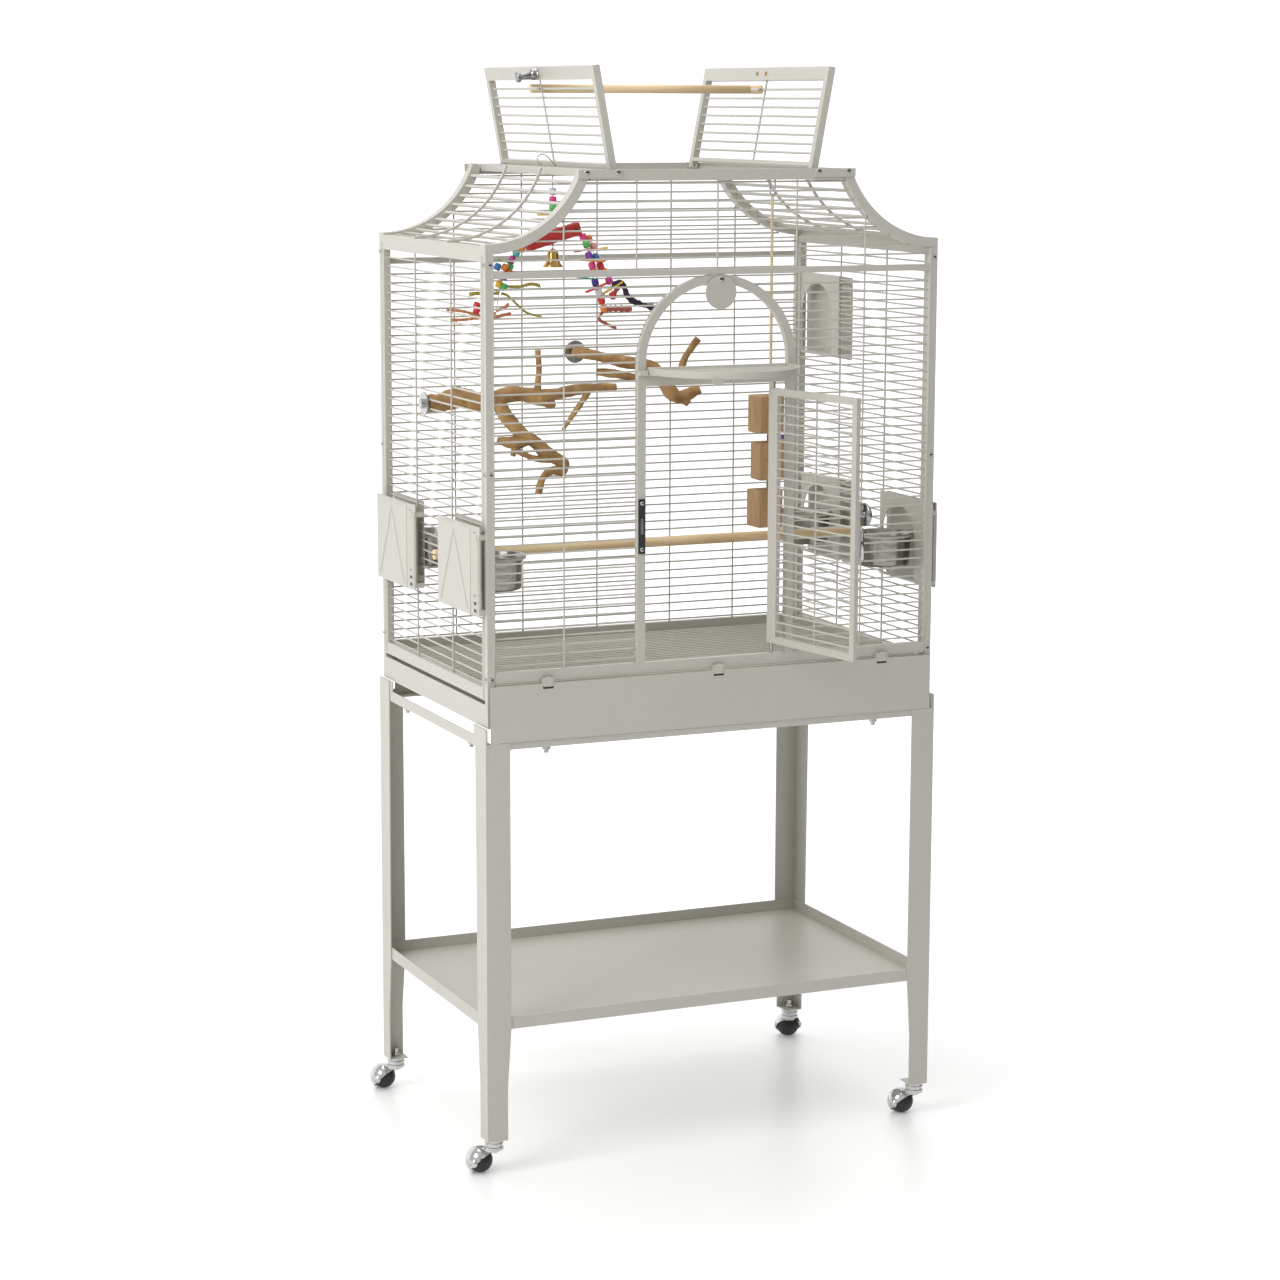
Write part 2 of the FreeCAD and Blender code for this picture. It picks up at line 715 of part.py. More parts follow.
def roof_flaps():
    hinge = (-flap_hinge_x, 0, flap_hinge_z)
    open_turn = -(90 + flap_lean)
    left = turned(roof_flap(), hinge, Y_AXIS, open_turn)
    save("roof_flap_left", left)
    save("roof_flap_right", mirrored_x(left))
    save("roof_latch", turned(roof_latch(), hinge, Y_AXIS, open_turn))
    rail_face = half_d - frame_depth - seam
    face = half_d + seam
    brackets, screws, pins = [], [], []
    x = -flap_hinge_x + bracket_height / 2
    z = (roof_top - bracket_height + seam, roof_top - seam)
    head_z = flap_hinge_z
    brackets.append(box((x - bracket_length, x), (-face - bracket_thick, -face), z))
    head_y = -face - bracket_thick - seam
    for head_x in (-flap_hinge_x, x - bracket_length + bracket_height):
        outer = (head_x, head_y - bracket_thick, head_z)
        screws.append(rod((head_x, head_y, head_z), outer, flap_pin_r * head_ratio))
    tip = rail_face - flap_edge_gap - flap_pin_reach
    pins.append(rod((-flap_hinge_x, -rail_face, head_z), (-flap_hinge_x, -tip, head_z), flap_pin_r))
    for name, shapes in (("flap_brackets", brackets), ("screws", screws), ("pivot_pins", pins)):
        pair = shapes + mirrored_y(shapes)
        save(name, pair + mirrored_x(pair))


# Front door and landing flap

def door_heights():
    return front_rail_top + door_bottom_gap, door_head_bottom - door_top_gap


def door():
    low, high = door_heights()
    mid_y = -half_d + frame_depth / 2
    pivot = (door_pivot_x, mid_y, 0)
    y = (mid_y - door_thick / 2, mid_y + door_thick / 2)
    x0, x1 = door_pivot_x - door_reach, door_pivot_x + door_pivot_edge
    inner_x = (x0 + door_bar + seam, x1 - 2 * door_bar - seam)
    shapes = [box((x0, x0 + door_bar), y, (low, high))]
    hinge_stile = box((x1 - 2 * door_bar, x1), y, (low, high))
    for z, way in ((low, 1), (high, -1)):
        tip = z + way * (door_pin_reach + pin_end)
        bore = rod((door_pivot_x, mid_y, z), (door_pivot_x, mid_y, tip), door_pin_r + running)
        hinge_stile = hinge_stile.cut(bore)
    shapes.append(hinge_stile)
    shapes.append(box(inner_x, y, (low + seam, low + door_bar)))
    shapes.append(box(inner_x, y, (high - door_bar, high - seam)))
    row_y = mid_y + wire_layer / 2
    for z in wire_rows(low + door_bar, high - door_bar):
        shapes.append(rod((inner_x[0], row_y, z), (inner_x[1], row_y, z), wire_r))
    mid_x, upright_y = sum(inner_x) / 2, row_y - wire_layer
    start = (mid_x, upright_y, low + door_bar + seam)
    shapes.append(rod(start, (mid_x, upright_y, high - door_bar - seam), wire_r))
    save("door", turned(shapes, pivot, Z_AXIS, door_open))

    middle = (low + high) / 2
    latch_z = middle + latch_rise
    face = y[0] - seam
    plate_face = face - latch_plate_thick
    plate_x = (x0 + latch_plate_edge, x0 + door_bar - latch_plate_edge)
    plate = box(plate_x, (plate_face, face), (latch_z - latch_plate_down, latch_z + latch_plate_up))
    save("door", turned([plate], pivot, Z_AXIS, door_open))
    center_x = sum(plate_x) / 2
    knob_ys = [plate_face - seam - step for step in (0, latch_neck, latch_neck + latch_knob_thick)]
    root, neck_end, tip = [(center_x, knob_y, latch_z) for knob_y in knob_ys]
    knob = rod(root, neck_end, latch_neck_r).fuse(rod(neck_end, tip, latch_knob_r))
    save("door_latch", turned([knob], pivot, Z_AXIS, door_open))

    post_outer = door_post_inner + door_post_width
    strike_x = (latch_plate_edge - post_outer, -door_post_inner - latch_plate_edge)
    strike_z = (middle - strike_down, middle + strike_up)
    seat = -half_d - seam
    strike = box(strike_x, (seat - strike_thick, seat), strike_z)
    head_x, head_y = sum(strike_x) / 2, seat - strike_thick - seam
    heads = [rod((head_x, head_y, z), (head_x, head_y - strike_thick, z), strike_screw_r)
             for z in (strike_z[0] + strike_screw_edge, strike_z[1] - strike_screw_edge)]
    save("strike_plate", [strike, *heads])


def landing_flap():
    """D-shaped landing flap, folded out level in front of the arch."""
    hinge_y = -half_d - landing_hinge_out
    r = arch_outer - arch_width - landing_gap
    base = landing_hinge_z - landing_hinge_low
    straight = arch_center_z - landing_hinge_z
    z = (base, base + landing_rim_height)
    front = hinge_y - straight

    def ring(radius):
        points = [V(radius, hinge_y, base), V(radius, front, base),
                  V(-radius, front, base), V(-radius, hinge_y, base)]
        bow = Part.Arc(points[1], V(0, front - radius, base), points[2]).toShape()
        edges = [Part.makeLine(points[0], points[1]), bow, Part.makeLine(points[2], points[3])]
        edges.append(Part.makeLine(points[3], points[0]))
        return Part.Face(Part.Wire(edges)).extrude(V(0, 0, landing_rim_height))

    rail_y = (hinge_y - landing_rail / 2, hinge_y + landing_rail / 2)
    rim = ring(r).cut(ring(r - landing_rim)).cut(box((-r, r), (rail_y[0] - seam, hinge_y), z))
    rail = box((-r, r), rail_y, z)
    for side in (-1, 1):
        tip = side * (r - landing_rail)
        bore = rod((side * r, hinge_y, landing_hinge_z), (tip, hinge_y, landing_hinge_z),
                   landing_pin_r + running)
        rail = rail.cut(bore)
    shapes = [rim, rail]
    wire_z = base + landing_rim_height / 2
    count = int((straight + r - landing_rail) / wire_pitch)
    for k in range(1, count + 1):
        y = hinge_y - k * wire_pitch
        over = max(front - y + wire_r, 0)
        reach = math.sqrt(max((r - landing_rim) ** 2 - over ** 2, 0)) - seam
        shapes.append(rod((-reach, y, wire_z), (reach, y, wire_z), wire_r))
    a = math.radians(landing_tab_angle)
    tab_x, tab_y = r * math.cos(a), front - (r + seam) * math.sin(a)
    tab = rod((tab_x, tab_y, base), (tab_x, tab_y - feeder_plate, base), landing_tab_r)
    upper = box((-r, r), (tab_y - landing_tab_r, tab_y + landing_tab_r),
                (landing_hinge_z, base + landing_tab_r))
    save("landing_flap", shapes + [tab.cut(ring(r + seam)).cut(upper)])

    lug_x = (door_post_inner + seam, door_post_inner + door_post_width)
    lug_y = (-half_d - seam, hinge_y - landing_rail / 2)
    lug = box(lug_x, lug_y, (landing_hinge_z - landing_rail / 2, landing_hinge_z + landing_rail / 2))
    pin_tip = r - landing_rail + pin_end
    pin = rod((lug_x[0], hinge_y, landing_hinge_z), (pin_tip, hinge_y, landing_hinge_z), landing_pin_r)
    lug = lug.fuse(pin)
    save("hinge_lugs", [lug, *mirrored_x([lug])])

    pivot_z = mid_rail_bottom - arch_width / 2
    disc_y = -half_d - disc_stand
    center_z = pivot_z - disc_hang
    disc = rod((disc_x, disc_y, center_z), (disc_x, disc_y - disc_thick, center_z), disc_r)
    hole = rod((disc_x, disc_y, pivot_z), (disc_x, disc_y - disc_thick, pivot_z), disc_screw_r + running)
    save("latch_disc", [disc.cut(hole)])
    head_y = disc_y - disc_thick - 4 * seam
    screw = rod((disc_x, -half_d - seam, pivot_z), (disc_x, head_y, pivot_z), disc_screw_r)
    head = rod((disc_x, head_y, pivot_z), (disc_x, head_y - disc_thick, pivot_z), disc_screw_r * head_ratio)
    save("screws", [screw.fuse(head)])


def door_pivots():
    mid_y = -half_d + frame_depth / 2
    low, high = door_heights()
    bottom = rod((door_pivot_x, mid_y, front_rail_top + seam),
                 (door_pivot_x, mid_y, low + door_pin_reach), door_pin_r)
    top = rod((door_pivot_x, mid_y, door_head_bottom - seam),
              (door_pivot_x, mid_y, high - door_pin_reach), door_pin_r)
    save("pivot_pins", [bottom, top])


# Stand

def leg_corner():
    return half_w + stand_overhang, half_d + stand_overhang


def leg(side, end):
    """Tapered angle leg with a foot plate for the caster's stem, at a corner given by two signs."""
    cx, cy = leg_corner()
    foot = leg_bottom + leg_foot_height
    front_top = apron_bottom - apron_gap
    front = prism([
        (cx, cy, leg_bottom), (cx, cy, front_top), (cx - leg_front_top, cy, front_top),
        (cx - leg_front_top, cy, shelf_bottom), (cx - leg_front_foot, cy, foot),
        (cx - leg_front_foot, cy, leg_bottom)], (0, -sheet, 0))
    flange = prism([
        (cx, cy, leg_bottom), (cx, cy, stand_top), (cx, cy - leg_side_top, stand_top),
        (cx, cy - leg_side_shelf, shelf_bottom), (cx, cy - leg_side_foot, foot),
        (cx, cy - leg_side_foot, leg_bottom)], (-sheet, 0, 0))
    size = 2 * caster_inset
    foot_plate = box((cx - size, cx), (cy - size, cy), (leg_bottom, leg_bottom + sheet))
    stem = rod((cx - caster_inset, cy - caster_inset, leg_bottom),
               (cx - caster_inset, cy - caster_inset, leg_bottom + sheet), stem_r + running)
    shape = front.fuse([flange, foot_plate.cut(stem)]).removeSplitter()
    shapes = [shape]
    if side < 0:
        shapes = mirrored_x(shapes)
    return mirrored_y(shapes) if end < 0 else shapes


def stand_rail(length, offset):
    """Angle rail along X with a raised ear at each end, its web's outer face at y = offset."""
    top = stand_bottom + rail_height
    web = prism([
        (-length, offset, stand_bottom), (length, offset, stand_bottom), (length, offset, stand_top),
        (length - ear_length, offset, stand_top), (length - ear_length, offset, top),
        (ear_length - length, offset, top), (ear_length - length, offset, stand_top),
        (-length, offset, stand_top)], (0, -sheet, 0))
    flange = box((-length, length), (offset - rail_flange, offset - sheet),
                 (stand_bottom, stand_bottom + sheet))
    return web.fuse(flange).removeSplitter()


def stand():
    for side, x_name in ((-1, "left"), (1, "right")):
        for end, y_name in ((-1, "front"), (1, "back")):
            save(f"leg_{y_name}_{x_name}", leg(side, end))
    cx, cy = leg_corner()
    inset = sheet + seam
    long_rail = stand_rail(cx - inset - rail_flange, cy - inset)
    short_rail = stand_rail(cy - inset - seam, cx - inset)
    short_rail.rotate(V(0, 0, 0), Z_AXIS, -90)
    save("stand_rails", [long_rail, *mirrored_y([long_rail]), short_rail, *mirrored_x([short_rail])])

    sx, sy = cx - sheet - shelf_clear, cy - sheet - shelf_clear
    top = shelf_bottom + shelf_rim
    outer = box((-sx, sx), (-sy, sy), (shelf_bottom, top))
    inner = box((sheet - sx, sx - sheet), (sheet - sy, sy - sheet), (shelf_bottom + sheet, top))
    save("shelf", [outer.cut(inner)])
    gx, gy = cx - sheet - seam, cy - sheet - seam
    z = shelf_bottom - seam
    tab = prism([(gx, gy, z), (gx - gusset, gy, z), (gx, gy - gusset, z)], (0, 0, -sheet))
    tabs = [tab, *mirrored_x([tab])]
    save("shelf_brackets", tabs + mirrored_y(tabs))

    bolts = []
    bolt_y = cy - inset - rail_flange / 2
    side_x = cx - inset - rail_flange / 2
    for x, y in ((cx - bolt_inset_x, bolt_y), (side_x, cy - bolt_inset_y)):
        nut = rod((x, y, stand_bottom - seam), (x, y, stand_bottom - nut_height), nut_r)
        shank = rod((x, y, stand_bottom - seam), (x, y, stand_bottom - 2 * nut_height), stem_r)
        bolts.append(nut.fuse(shank))
    x, y, head_z = gx - shelf_screw_inset, gy - shelf_screw_inset, z - sheet - seam
    bolts.append(rod((x, y, head_z), (x, y, head_z - sheet), shelf_screw_r))
    bolts += mirrored_x(bolts)
    save("stand_fasteners", bolts + mirrored_y(bolts))


def casters():
    cx, cy = leg_corner()
    stems = []
    hood_inner = wheel_r + hood_gap
    hood_outer = hood_inner + hood_thick
    plate_top = leg_bottom - collar_height() - swivel_gap
    for name, turn in caster_turn.items():
        x = (cx - caster_inset) * (1 if "right" in name else -1)
        y = (cy - caster_inset) * (1 if "back" in name else -1)
        wheel_at = V(caster_trail, 0, wheel_r)
        slope = V(1, 0, 1).normalize()
        keep = Part.makeBox(4 * hood_outer, 4 * hood_outer, 2 * hood_outer,
                            V(-2 * hood_outer, -2 * hood_outer, -hood_cut))
        keep.rotate(V(0, 0, 0), Y_AXIS, math.degrees(math.atan2(slope.x, slope.z)))
        keep.translate(wheel_at)
        hood = Part.makeSphere(hood_outer, wheel_at).common(keep)
        neck_top = plate_top - swivel_thick
        neck = box((-swivel_r / 2, caster_trail), (-neck_half, neck_half),
                   (neck_top - swivel_thick, neck_top))
        plate = Part.makeCylinder(swivel_r, swivel_thick, V(0, 0, neck_top))
        hood = hood.fuse([neck, plate]).cut(Part.makeSphere(hood_inner, wheel_at))
        axle = rod((caster_trail, -hood_outer + seam, wheel_r),
                   (caster_trail, hood_outer - seam, wheel_r), axle_r)
        hood = hood.fuse(axle).removeSplitter()
        bore = rod((caster_trail, -wheel_r, wheel_r), (caster_trail, wheel_r, wheel_r), axle_r + running)
        wheel = Part.makeSphere(wheel_r, wheel_at).cut(bore)
        for part_name, shape in (("hood", hood), ("wheel", wheel)):
            shape.rotate(V(0, 0, 0), Z_AXIS, turn)
            shape.translate(V(x, y, 0))
            save(f"caster_{part_name}_{name}", [shape])
        collar = rod((x, y, leg_bottom - seam), (x, y, leg_bottom - collar_height()), collar_r)
        top = leg_bottom + sheet
        stem = rod((x, y, leg_bottom - seam), (x, y, top + stem_top), stem_r)
        nut = rod((x, y, top + seam), (x, y, top + nut_height), nut_r)
        stems.append(collar.fuse([stem, nut]).removeSplitter())
    save("caster_stems", stems)


def collar_height():
    return leg_bottom - 2 * wheel_r - hood_gap - swivel_thick - swivel_gap


# Base, drawer and grate

def base():
    """Sheet skirts on three sides with the ledges that carry the drawer."""
    outer_y = half_d - frame_depth - seam
    skirt_x = (-half_w, -half_w + sheet)
    ledge_x = (-half_w + sheet, -half_w + sheet + ledge_width)
    ys = (-outer_y, outer_y)
    ledge = box(ledge_x, ys, (stand_top, stand_top + ledge_thick))
    left = box(skirt_x, ys, (stand_top, skirt_top)).fuse(ledge)
    left = left.removeSplitter()
    back_x = half_w - stile_width - seam
    back_y = half_d - frame_depth
    back = box((-back_x, back_x), (back_y, back_y + sheet), (stand_top, skirt_top))
    save("base_skirts", [left, *mirrored_x([left]), back])


def drawer():
    floor_z = stand_top + ledge_thick + tray_lift
    top = floor_z + tray_height
    side = half_w - stile_width - tray_gap
    face = -half_d - apron_front
    front = face + tray_wall
    back = half_d - frame_depth - tray_back_gap
    pan = box((-side, side), (front, back), (floor_z, top))
    hollow = box((tray_wall - side, side - tray_wall), (front + tray_wall, back - tray_wall),
                 (floor_z + tray_wall, top))
    apron_x = half_w - apron_side_gap
    apron = box((-apron_x, apron_x), (face, front), (apron_bottom, apron_top))
    save("drawer", [pan.cut(hollow).fuse(apron).removeSplitter()])
    tabs = []
    for x in tab_x:
        span = (x - tab_width / 2, x + tab_width / 2)
        tabs.append(box(span, (face, front), (apron_top + seam, apron_top + tab_height)))
    save("drawer", tabs)
    rods = []
    rod_z = (top + seam, top + seam + grate_rod)
    reach = side - grate_edge
    front_y = front + grate_edge
    back_y = back - tray_wall / 2
    for k in range(grate_rod_count):
        x = -reach + grate_rod / 2 + k * (2 * reach - grate_rod) / (grate_rod_count - 1)
        ys = (front + tray_wall / 4, back_y)
        rods.append(box((x - grate_rod / 2, x + grate_rod / 2), ys, rod_z))
    count = int((back_y - front_y) / wire_pitch)
    for k in range(count + 1):
        y = front_y + k * (back_y - front_y - grate_edge) / count
        z = rod_z[1] + seam + wire_r
        rods.append(rod((-reach, y, z), (reach, y, z), wire_r))
    save("floor_grate", rods)


def panel_screws():
    """Screw heads that hold the walls together at the corners."""
    heads = []
    middle = (front_rail_top + mid_rail_top) / 2
    for z in (front_rail_bottom + stile_width / 2, eave - 2 * gable_bar, middle):
        x = half_w - stile_width / 2
        y = half_d - frame_depth / 2
        heads.append(rod((x, -half_d - seam, z), (x, -half_d - screw_head, z), screw_head_r))
        heads.append(rod((half_w + seam, -y, z), (half_w + screw_head, -y, z), screw_head_r))
    heads += mirrored_y(heads)
    save("screws", heads + mirrored_x(heads))


# Perches, branches and toys

def perch():
    """Dowel across the cage, its forked ends straddling a wire of each side wall."""
    z = row_height(perch_row)
    wire_x = half_w - wire_inner_face() + wire_r
    end = wire_x + perch_poke
    shape = rod((-end, 0, z), (end, 0, z), perch_d / 2)
    for side in (-1, 1):
        slot = box((side * end, side * (end - perch_slot_depth)), (-perch_d, perch_d),
                   (z - perch_slot / 2, z + perch_slot / 2))
        shape = shape.cut(slot)
    save("perch", [shape])


def limb(points):
    """A tapered rod through points given with their radii, mitred where it turns."""
    middles = [V(*p[:3]) for p in points]
    across = V(1, 2, 3)
    rings = []
    for k, middle in enumerate(middles):
        way = (middles[min(k + 1, len(middles) - 1)] - middles[max(k - 1, 0)]).normalize()
        across = (across - way * across.dot(way)).normalize()
        ring = Part.makeCircle(points[k][3])
        ring.Placement = FreeCAD.Placement(middle, FreeCAD.Rotation(across, way.cross(across), way, "ZXY"))
        rings.append(Part.Wire(ring))
    return Part.makeLoft(rings, True, True)


def branch(limbs, stud):
    """A branch as one solid, its points counted from its stud."""
    wood = None
    for points in limbs:
        shape = limb([(*[s + c for s, c in zip(stud, p)], p[3]) for p in points])
        wood = wood.fuse(shape) if wood else shape
    return wood


def branches():
    left_stud = (wire_inner_face() + seam - half_w, left_branch_y, row_height(left_branch_row + 0.5))
    back_stud = (back_branch_x, half_d - wire_inner_face() - seam, row_height(back_branch_row + 0.5))
    save("branch_left", [branch(left_branch, left_stud)])
    save("branch_back", [branch(back_branch, back_stud)])

    def stud(start, way):
        """Washer and wing nut on a stud, outside the wires."""
        reach = wire_d + wire_layer + 2 * seam
        shank = Part.makeCylinder(branch_stud_r, reach, start, way)
        washer = Part.makeCylinder(washer_r, sheet, start + way * reach, way)
        nut = Part.makeCylinder(wing_nut_r, nut_height, start + way * (reach + sheet), way)
        return washer.fuse([nut, shank]).removeSplitter()

    starts = (left_stud, V(-1, 0, 0)), (back_stud, V(0, 1, 0))
    save("branch_studs", [stud(V(*start) + way * seam, way) for start, way in starts])


def toys():
    rail_low = roof_top - flap_thick
    hang_x = flap_hinge_x + rail_flap_gap + roof_inner_rail / 2
    top = rail_low - toy_hang_gap
    bar_z = top - bar_toy_drop
    x, y = -hang_x, bar_toy_y
    tilt = math.radians(toy_bar_tilt)
    under = toy_bar_height / 2 / math.cos(tilt)
    hook_end = bar_z + under + hook_r * math.tan(tilt) + seam
    bar = box((x - toy_bar_length / 2, x + toy_bar_length / 2),
              (y - toy_bar_thick / 2, y + toy_bar_thick / 2),
              (bar_z - toy_bar_height / 2, bar_z + toy_bar_height / 2))
    bar.rotate(V(x, y, bar_z), Y_AXIS, -toy_bar_tilt)
    save("toy_bar", [bar])
    beads = [rod((x, y, top), (x, y, hook_end), hook_r)]
    pitch = bead_length + bead_gap
    for k in range(bead_count):
        high = top - bead_drop - k * pitch
        beads.append(tube((x, y, high), (x, y, high - bead_length), bead_r, hook_r + running))
    half = toy_bar_length / 2 - 2 * bead_r
    for side, count in strand_beads.items():
        end_x = x + side * half * math.cos(tilt)
        end_z = bar_z + side * half * math.sin(tilt) - under - bead_r * math.tan(tilt) - bead_gap
        for k in range(count):
            high = end_z - k * pitch
            beads.append(rod((end_x, y, high), (end_x, y, high - bead_length), bead_r))
    save("toy_beads", beads)
    outer = [(r, -depth) for r, depth in bell_profile]
    inner = [(r - bell_wall, min(-depth, -2 * bell_wall)) for r, depth in bell_profile]
    profile = [(0, 0), *outer, *inner[:0:-1], (0, -2 * bell_wall)]
    bell_top = bar_z - under - bell_link
    bell = revolved(profile, (x, y, bell_top))
    neck_z = bell_top + bell_link - toy_hang_gap - bell_tip
    link = rod((x, y, neck_z), (x, y, bell_top - bell_wall), hook_r)
    tip = Part.makeCone(hook_r, bell_tip_r, bell_tip, V(x, y, neck_z))
    save("toy_bell", [bell.fuse([link, tip]).removeSplitter()])

    x, y = hang_x, box_toy_y
    clip_end = top - clip_length
    clip_y = (y - clip_thick / 2, y + clip_thick / 2)
    bend_z = top - clip_width / 2

    def loop(half, low):
        """A flat loop with a round top."""
        bend = rod((x, clip_y[0], bend_z), (x, clip_y[1], bend_z), half)
        return box((x - half, x + half), clip_y, (low, bend_z)).fuse(bend)

    clip = loop(clip_width / 2, clip_end)
    save("toy_clip", [clip.cut(loop(clip_width / 2 - clip_bar, clip_end + clip_bar)).removeSplitter()])
    rope_end = clip_end - rope_length
    save("toy_rope", [rod((x, y, clip_end - seam), (x, y, rope_end), rope_r)])
    width, depth, height = carton_size
    high = rope_end - seam
    for k, shift in enumerate(carton_shift):
        low = high - height
        carton_x, carton_y = (x + shift - width / 2, x + shift + width / 2), (y - depth / 2, y + depth / 2)
        save("toy_cartons", [box(carton_x, carton_y, (low, high))])
        if k + 1 < len(carton_shift):
            save("toy_cartons", [rod((x, y, low - seam), (x, y, low - carton_gap + seam), bead_r)])
        high = low - carton_gap


front_panel()
back_panel()
side_panel(-1, "left_panel")
side_panel(1, "right_panel")
feeders()
roof()
roof_flaps()
door()
door_pivots()
landing_flap()
stand()
casters()
base()
drawer()
panel_screws()
perch()
branches()
toys()

os.makedirs("parts", exist_ok=True)
for node_name, solids in nodes.items():
    Part.makeCompound(solids).exportStep(f"parts/{node_name}.step")
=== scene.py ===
import json
import math
import random

import bpy
from mathutils import Matrix, Vector, noise


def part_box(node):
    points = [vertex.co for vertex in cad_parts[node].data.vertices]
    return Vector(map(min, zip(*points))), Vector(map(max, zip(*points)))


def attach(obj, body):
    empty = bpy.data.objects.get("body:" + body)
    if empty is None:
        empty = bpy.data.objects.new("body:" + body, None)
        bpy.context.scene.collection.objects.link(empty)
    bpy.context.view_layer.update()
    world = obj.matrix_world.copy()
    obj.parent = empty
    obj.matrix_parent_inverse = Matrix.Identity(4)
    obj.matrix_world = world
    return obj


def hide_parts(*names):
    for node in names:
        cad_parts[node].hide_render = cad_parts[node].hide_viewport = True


# Shapes are written in millimetres in the part's own frame; the stage and the camera in metres.

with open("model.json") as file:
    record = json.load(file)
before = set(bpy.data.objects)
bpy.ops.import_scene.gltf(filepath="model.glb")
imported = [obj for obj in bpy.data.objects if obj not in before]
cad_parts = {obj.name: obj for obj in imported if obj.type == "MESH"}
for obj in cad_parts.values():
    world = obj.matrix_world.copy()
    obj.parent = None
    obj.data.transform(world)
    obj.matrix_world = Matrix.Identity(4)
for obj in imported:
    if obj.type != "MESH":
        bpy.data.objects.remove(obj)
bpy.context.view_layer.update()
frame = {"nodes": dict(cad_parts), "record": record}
random.seed(11)
MM = 0.001
PER_M = 1000
TOWARDS_FRONT = (0, -1, 0)


# Materials

BROAD_SCALE, BROAD_DETAIL = 14.0, 3.0   # noise that mottles a colour
RELIEF_DEPTH = 0.0006                   # metres
LEAST_ROUGH = 0.02


def surface(name, light, dark, rough=0.5, metal=0.0, scale=400.0, detail=5.0, bump=0.1,
            stretch=(1, 1, 1), low=0.35, high=0.65, rough_change=0.1, coat=0.0, mottle=0.0):
    """A finish whose colour, gloss and relief follow noise in the object's own space."""
    mat = bpy.data.materials.new(name)
    mat.use_nodes = True
    tree = mat.node_tree
    new = tree.nodes.new
    shader = tree.nodes["Principled BSDF"]
    coord = new("ShaderNodeTexCoord")
    place = new("ShaderNodeMapping")
    place.inputs["Scale"].default_value = stretch
    tree.links.new(coord.outputs["Object"], place.inputs["Vector"])
    grain = new("ShaderNodeTexNoise")
    grain.inputs["Scale"].default_value = scale
    grain.inputs["Detail"].default_value = detail
    tree.links.new(place.outputs["Vector"], grain.inputs["Vector"])
    ramp = new("ShaderNodeValToRGB")
    ramp.color_ramp.elements[0].position = low
    ramp.color_ramp.elements[0].color = (*dark, 1)
    ramp.color_ramp.elements[1].position = high
    ramp.color_ramp.elements[1].color = (*light, 1)
    tree.links.new(grain.outputs["Fac"], ramp.inputs["Fac"])
    color = ramp.outputs["Color"]
    if mottle:
        broad = new("ShaderNodeTexNoise")
        broad.inputs["Scale"].default_value = BROAD_SCALE
        broad.inputs["Detail"].default_value = BROAD_DETAIL
        tree.links.new(coord.outputs["Object"], broad.inputs["Vector"])
        tint = new("ShaderNodeMapRange")
        tint.inputs["To Min"].default_value = 1 - mottle
        tint.inputs["To Max"].default_value = 1 + mottle
        tree.links.new(broad.outputs["Fac"], tint.inputs["Value"])
        shade = new("ShaderNodeVectorMath")
        shade.operation = "SCALE"
        tree.links.new(color, shade.inputs[0])
        tree.links.new(tint.outputs["Result"], shade.inputs["Scale"])
        color = shade.outputs["Vector"]
    tree.links.new(color, shader.inputs["Base Color"])
    gloss = new("ShaderNodeMapRange")
    gloss.inputs["To Min"].default_value = max(rough - rough_change, LEAST_ROUGH)
    gloss.inputs["To Max"].default_value = rough + rough_change
    tree.links.new(grain.outputs["Fac"], gloss.inputs["Value"])
    tree.links.new(gloss.outputs["Result"], shader.inputs["Roughness"])
    relief = new("ShaderNodeBump")
    relief.inputs["Strength"].default_value = bump
    relief.inputs["Distance"].default_value = RELIEF_DEPTH
    tree.links.new(grain.outputs["Fac"], relief.inputs["Height"])
    tree.links.new(relief.outputs["Normal"], shader.inputs["Normal"])
    shader.inputs["Metallic"].default_value = metal
    shader.inputs["Coat Weight"].default_value = coat
    return mat


powder = surface("powder_coat", (0.56, 0.543, 0.488), (0.45, 0.437, 0.39), rough=0.40,
                 scale=900.0, bump=0.12, mottle=0.02)
# The floor grate's coat is lighter than the cage's: partly its own finish, partly painted light on its
# wires over the shaded tray.
grate_coat_and_painted_light = surface("grate_coat_and_painted_light", (0.70, 0.68, 0.62), (0.60, 0.585, 0.53), rough=0.36,
                     scale=900.0, bump=0.1, mottle=0.02)
zinc = surface("zinc", (0.60, 0.60, 0.58), (0.42, 0.42, 0.41), rough=0.24, metal=1.0,
               scale=300.0, bump=0.06)
chrome = surface("chrome", (0.62, 0.62, 0.61), (0.52, 0.52, 0.51), rough=0.08, metal=1.0,
                 scale=120.0, bump=0.02, rough_change=0.03)
latch_steel = surface("latch_steel", (0.40, 0.40, 0.39), (0.26, 0.26, 0.25), rough=0.12, metal=1.0,
                      scale=120.0, bump=0.02)
joint_line = surface("joint_line", (0.24, 0.23, 0.21), (0.17, 0.16, 0.145), rough=0.6,
                     scale=400.0, bump=0.05)
steel = surface("bowl_steel", (0.40, 0.39, 0.365), (0.29, 0.28, 0.265), rough=0.2, metal=1.0,
                scale=60.0, stretch=(1, 1, 14), bump=0.04, rough_change=0.06)
brass = surface("brass", (0.60, 0.41, 0.15), (0.42, 0.26, 0.08), rough=0.18, metal=1.0,
                scale=90.0, bump=0.03, rough_change=0.05)
black_metal = surface("black_metal", (0.035, 0.035, 0.035), (0.015, 0.015, 0.015), rough=0.35,
                      scale=500.0, bump=0.08)
rubber = surface("ball_rubber", (0.022, 0.022, 0.022), (0.010, 0.010, 0.010), rough=0.48,
                 scale=350.0, bump=0.1)
dowel = surface("dowel", (0.80, 0.62, 0.38), (0.62, 0.43, 0.22), rough=0.6,
                scale=60.0, stretch=(0.12, 1, 1), bump=0.15, low=0.3, high=0.62)
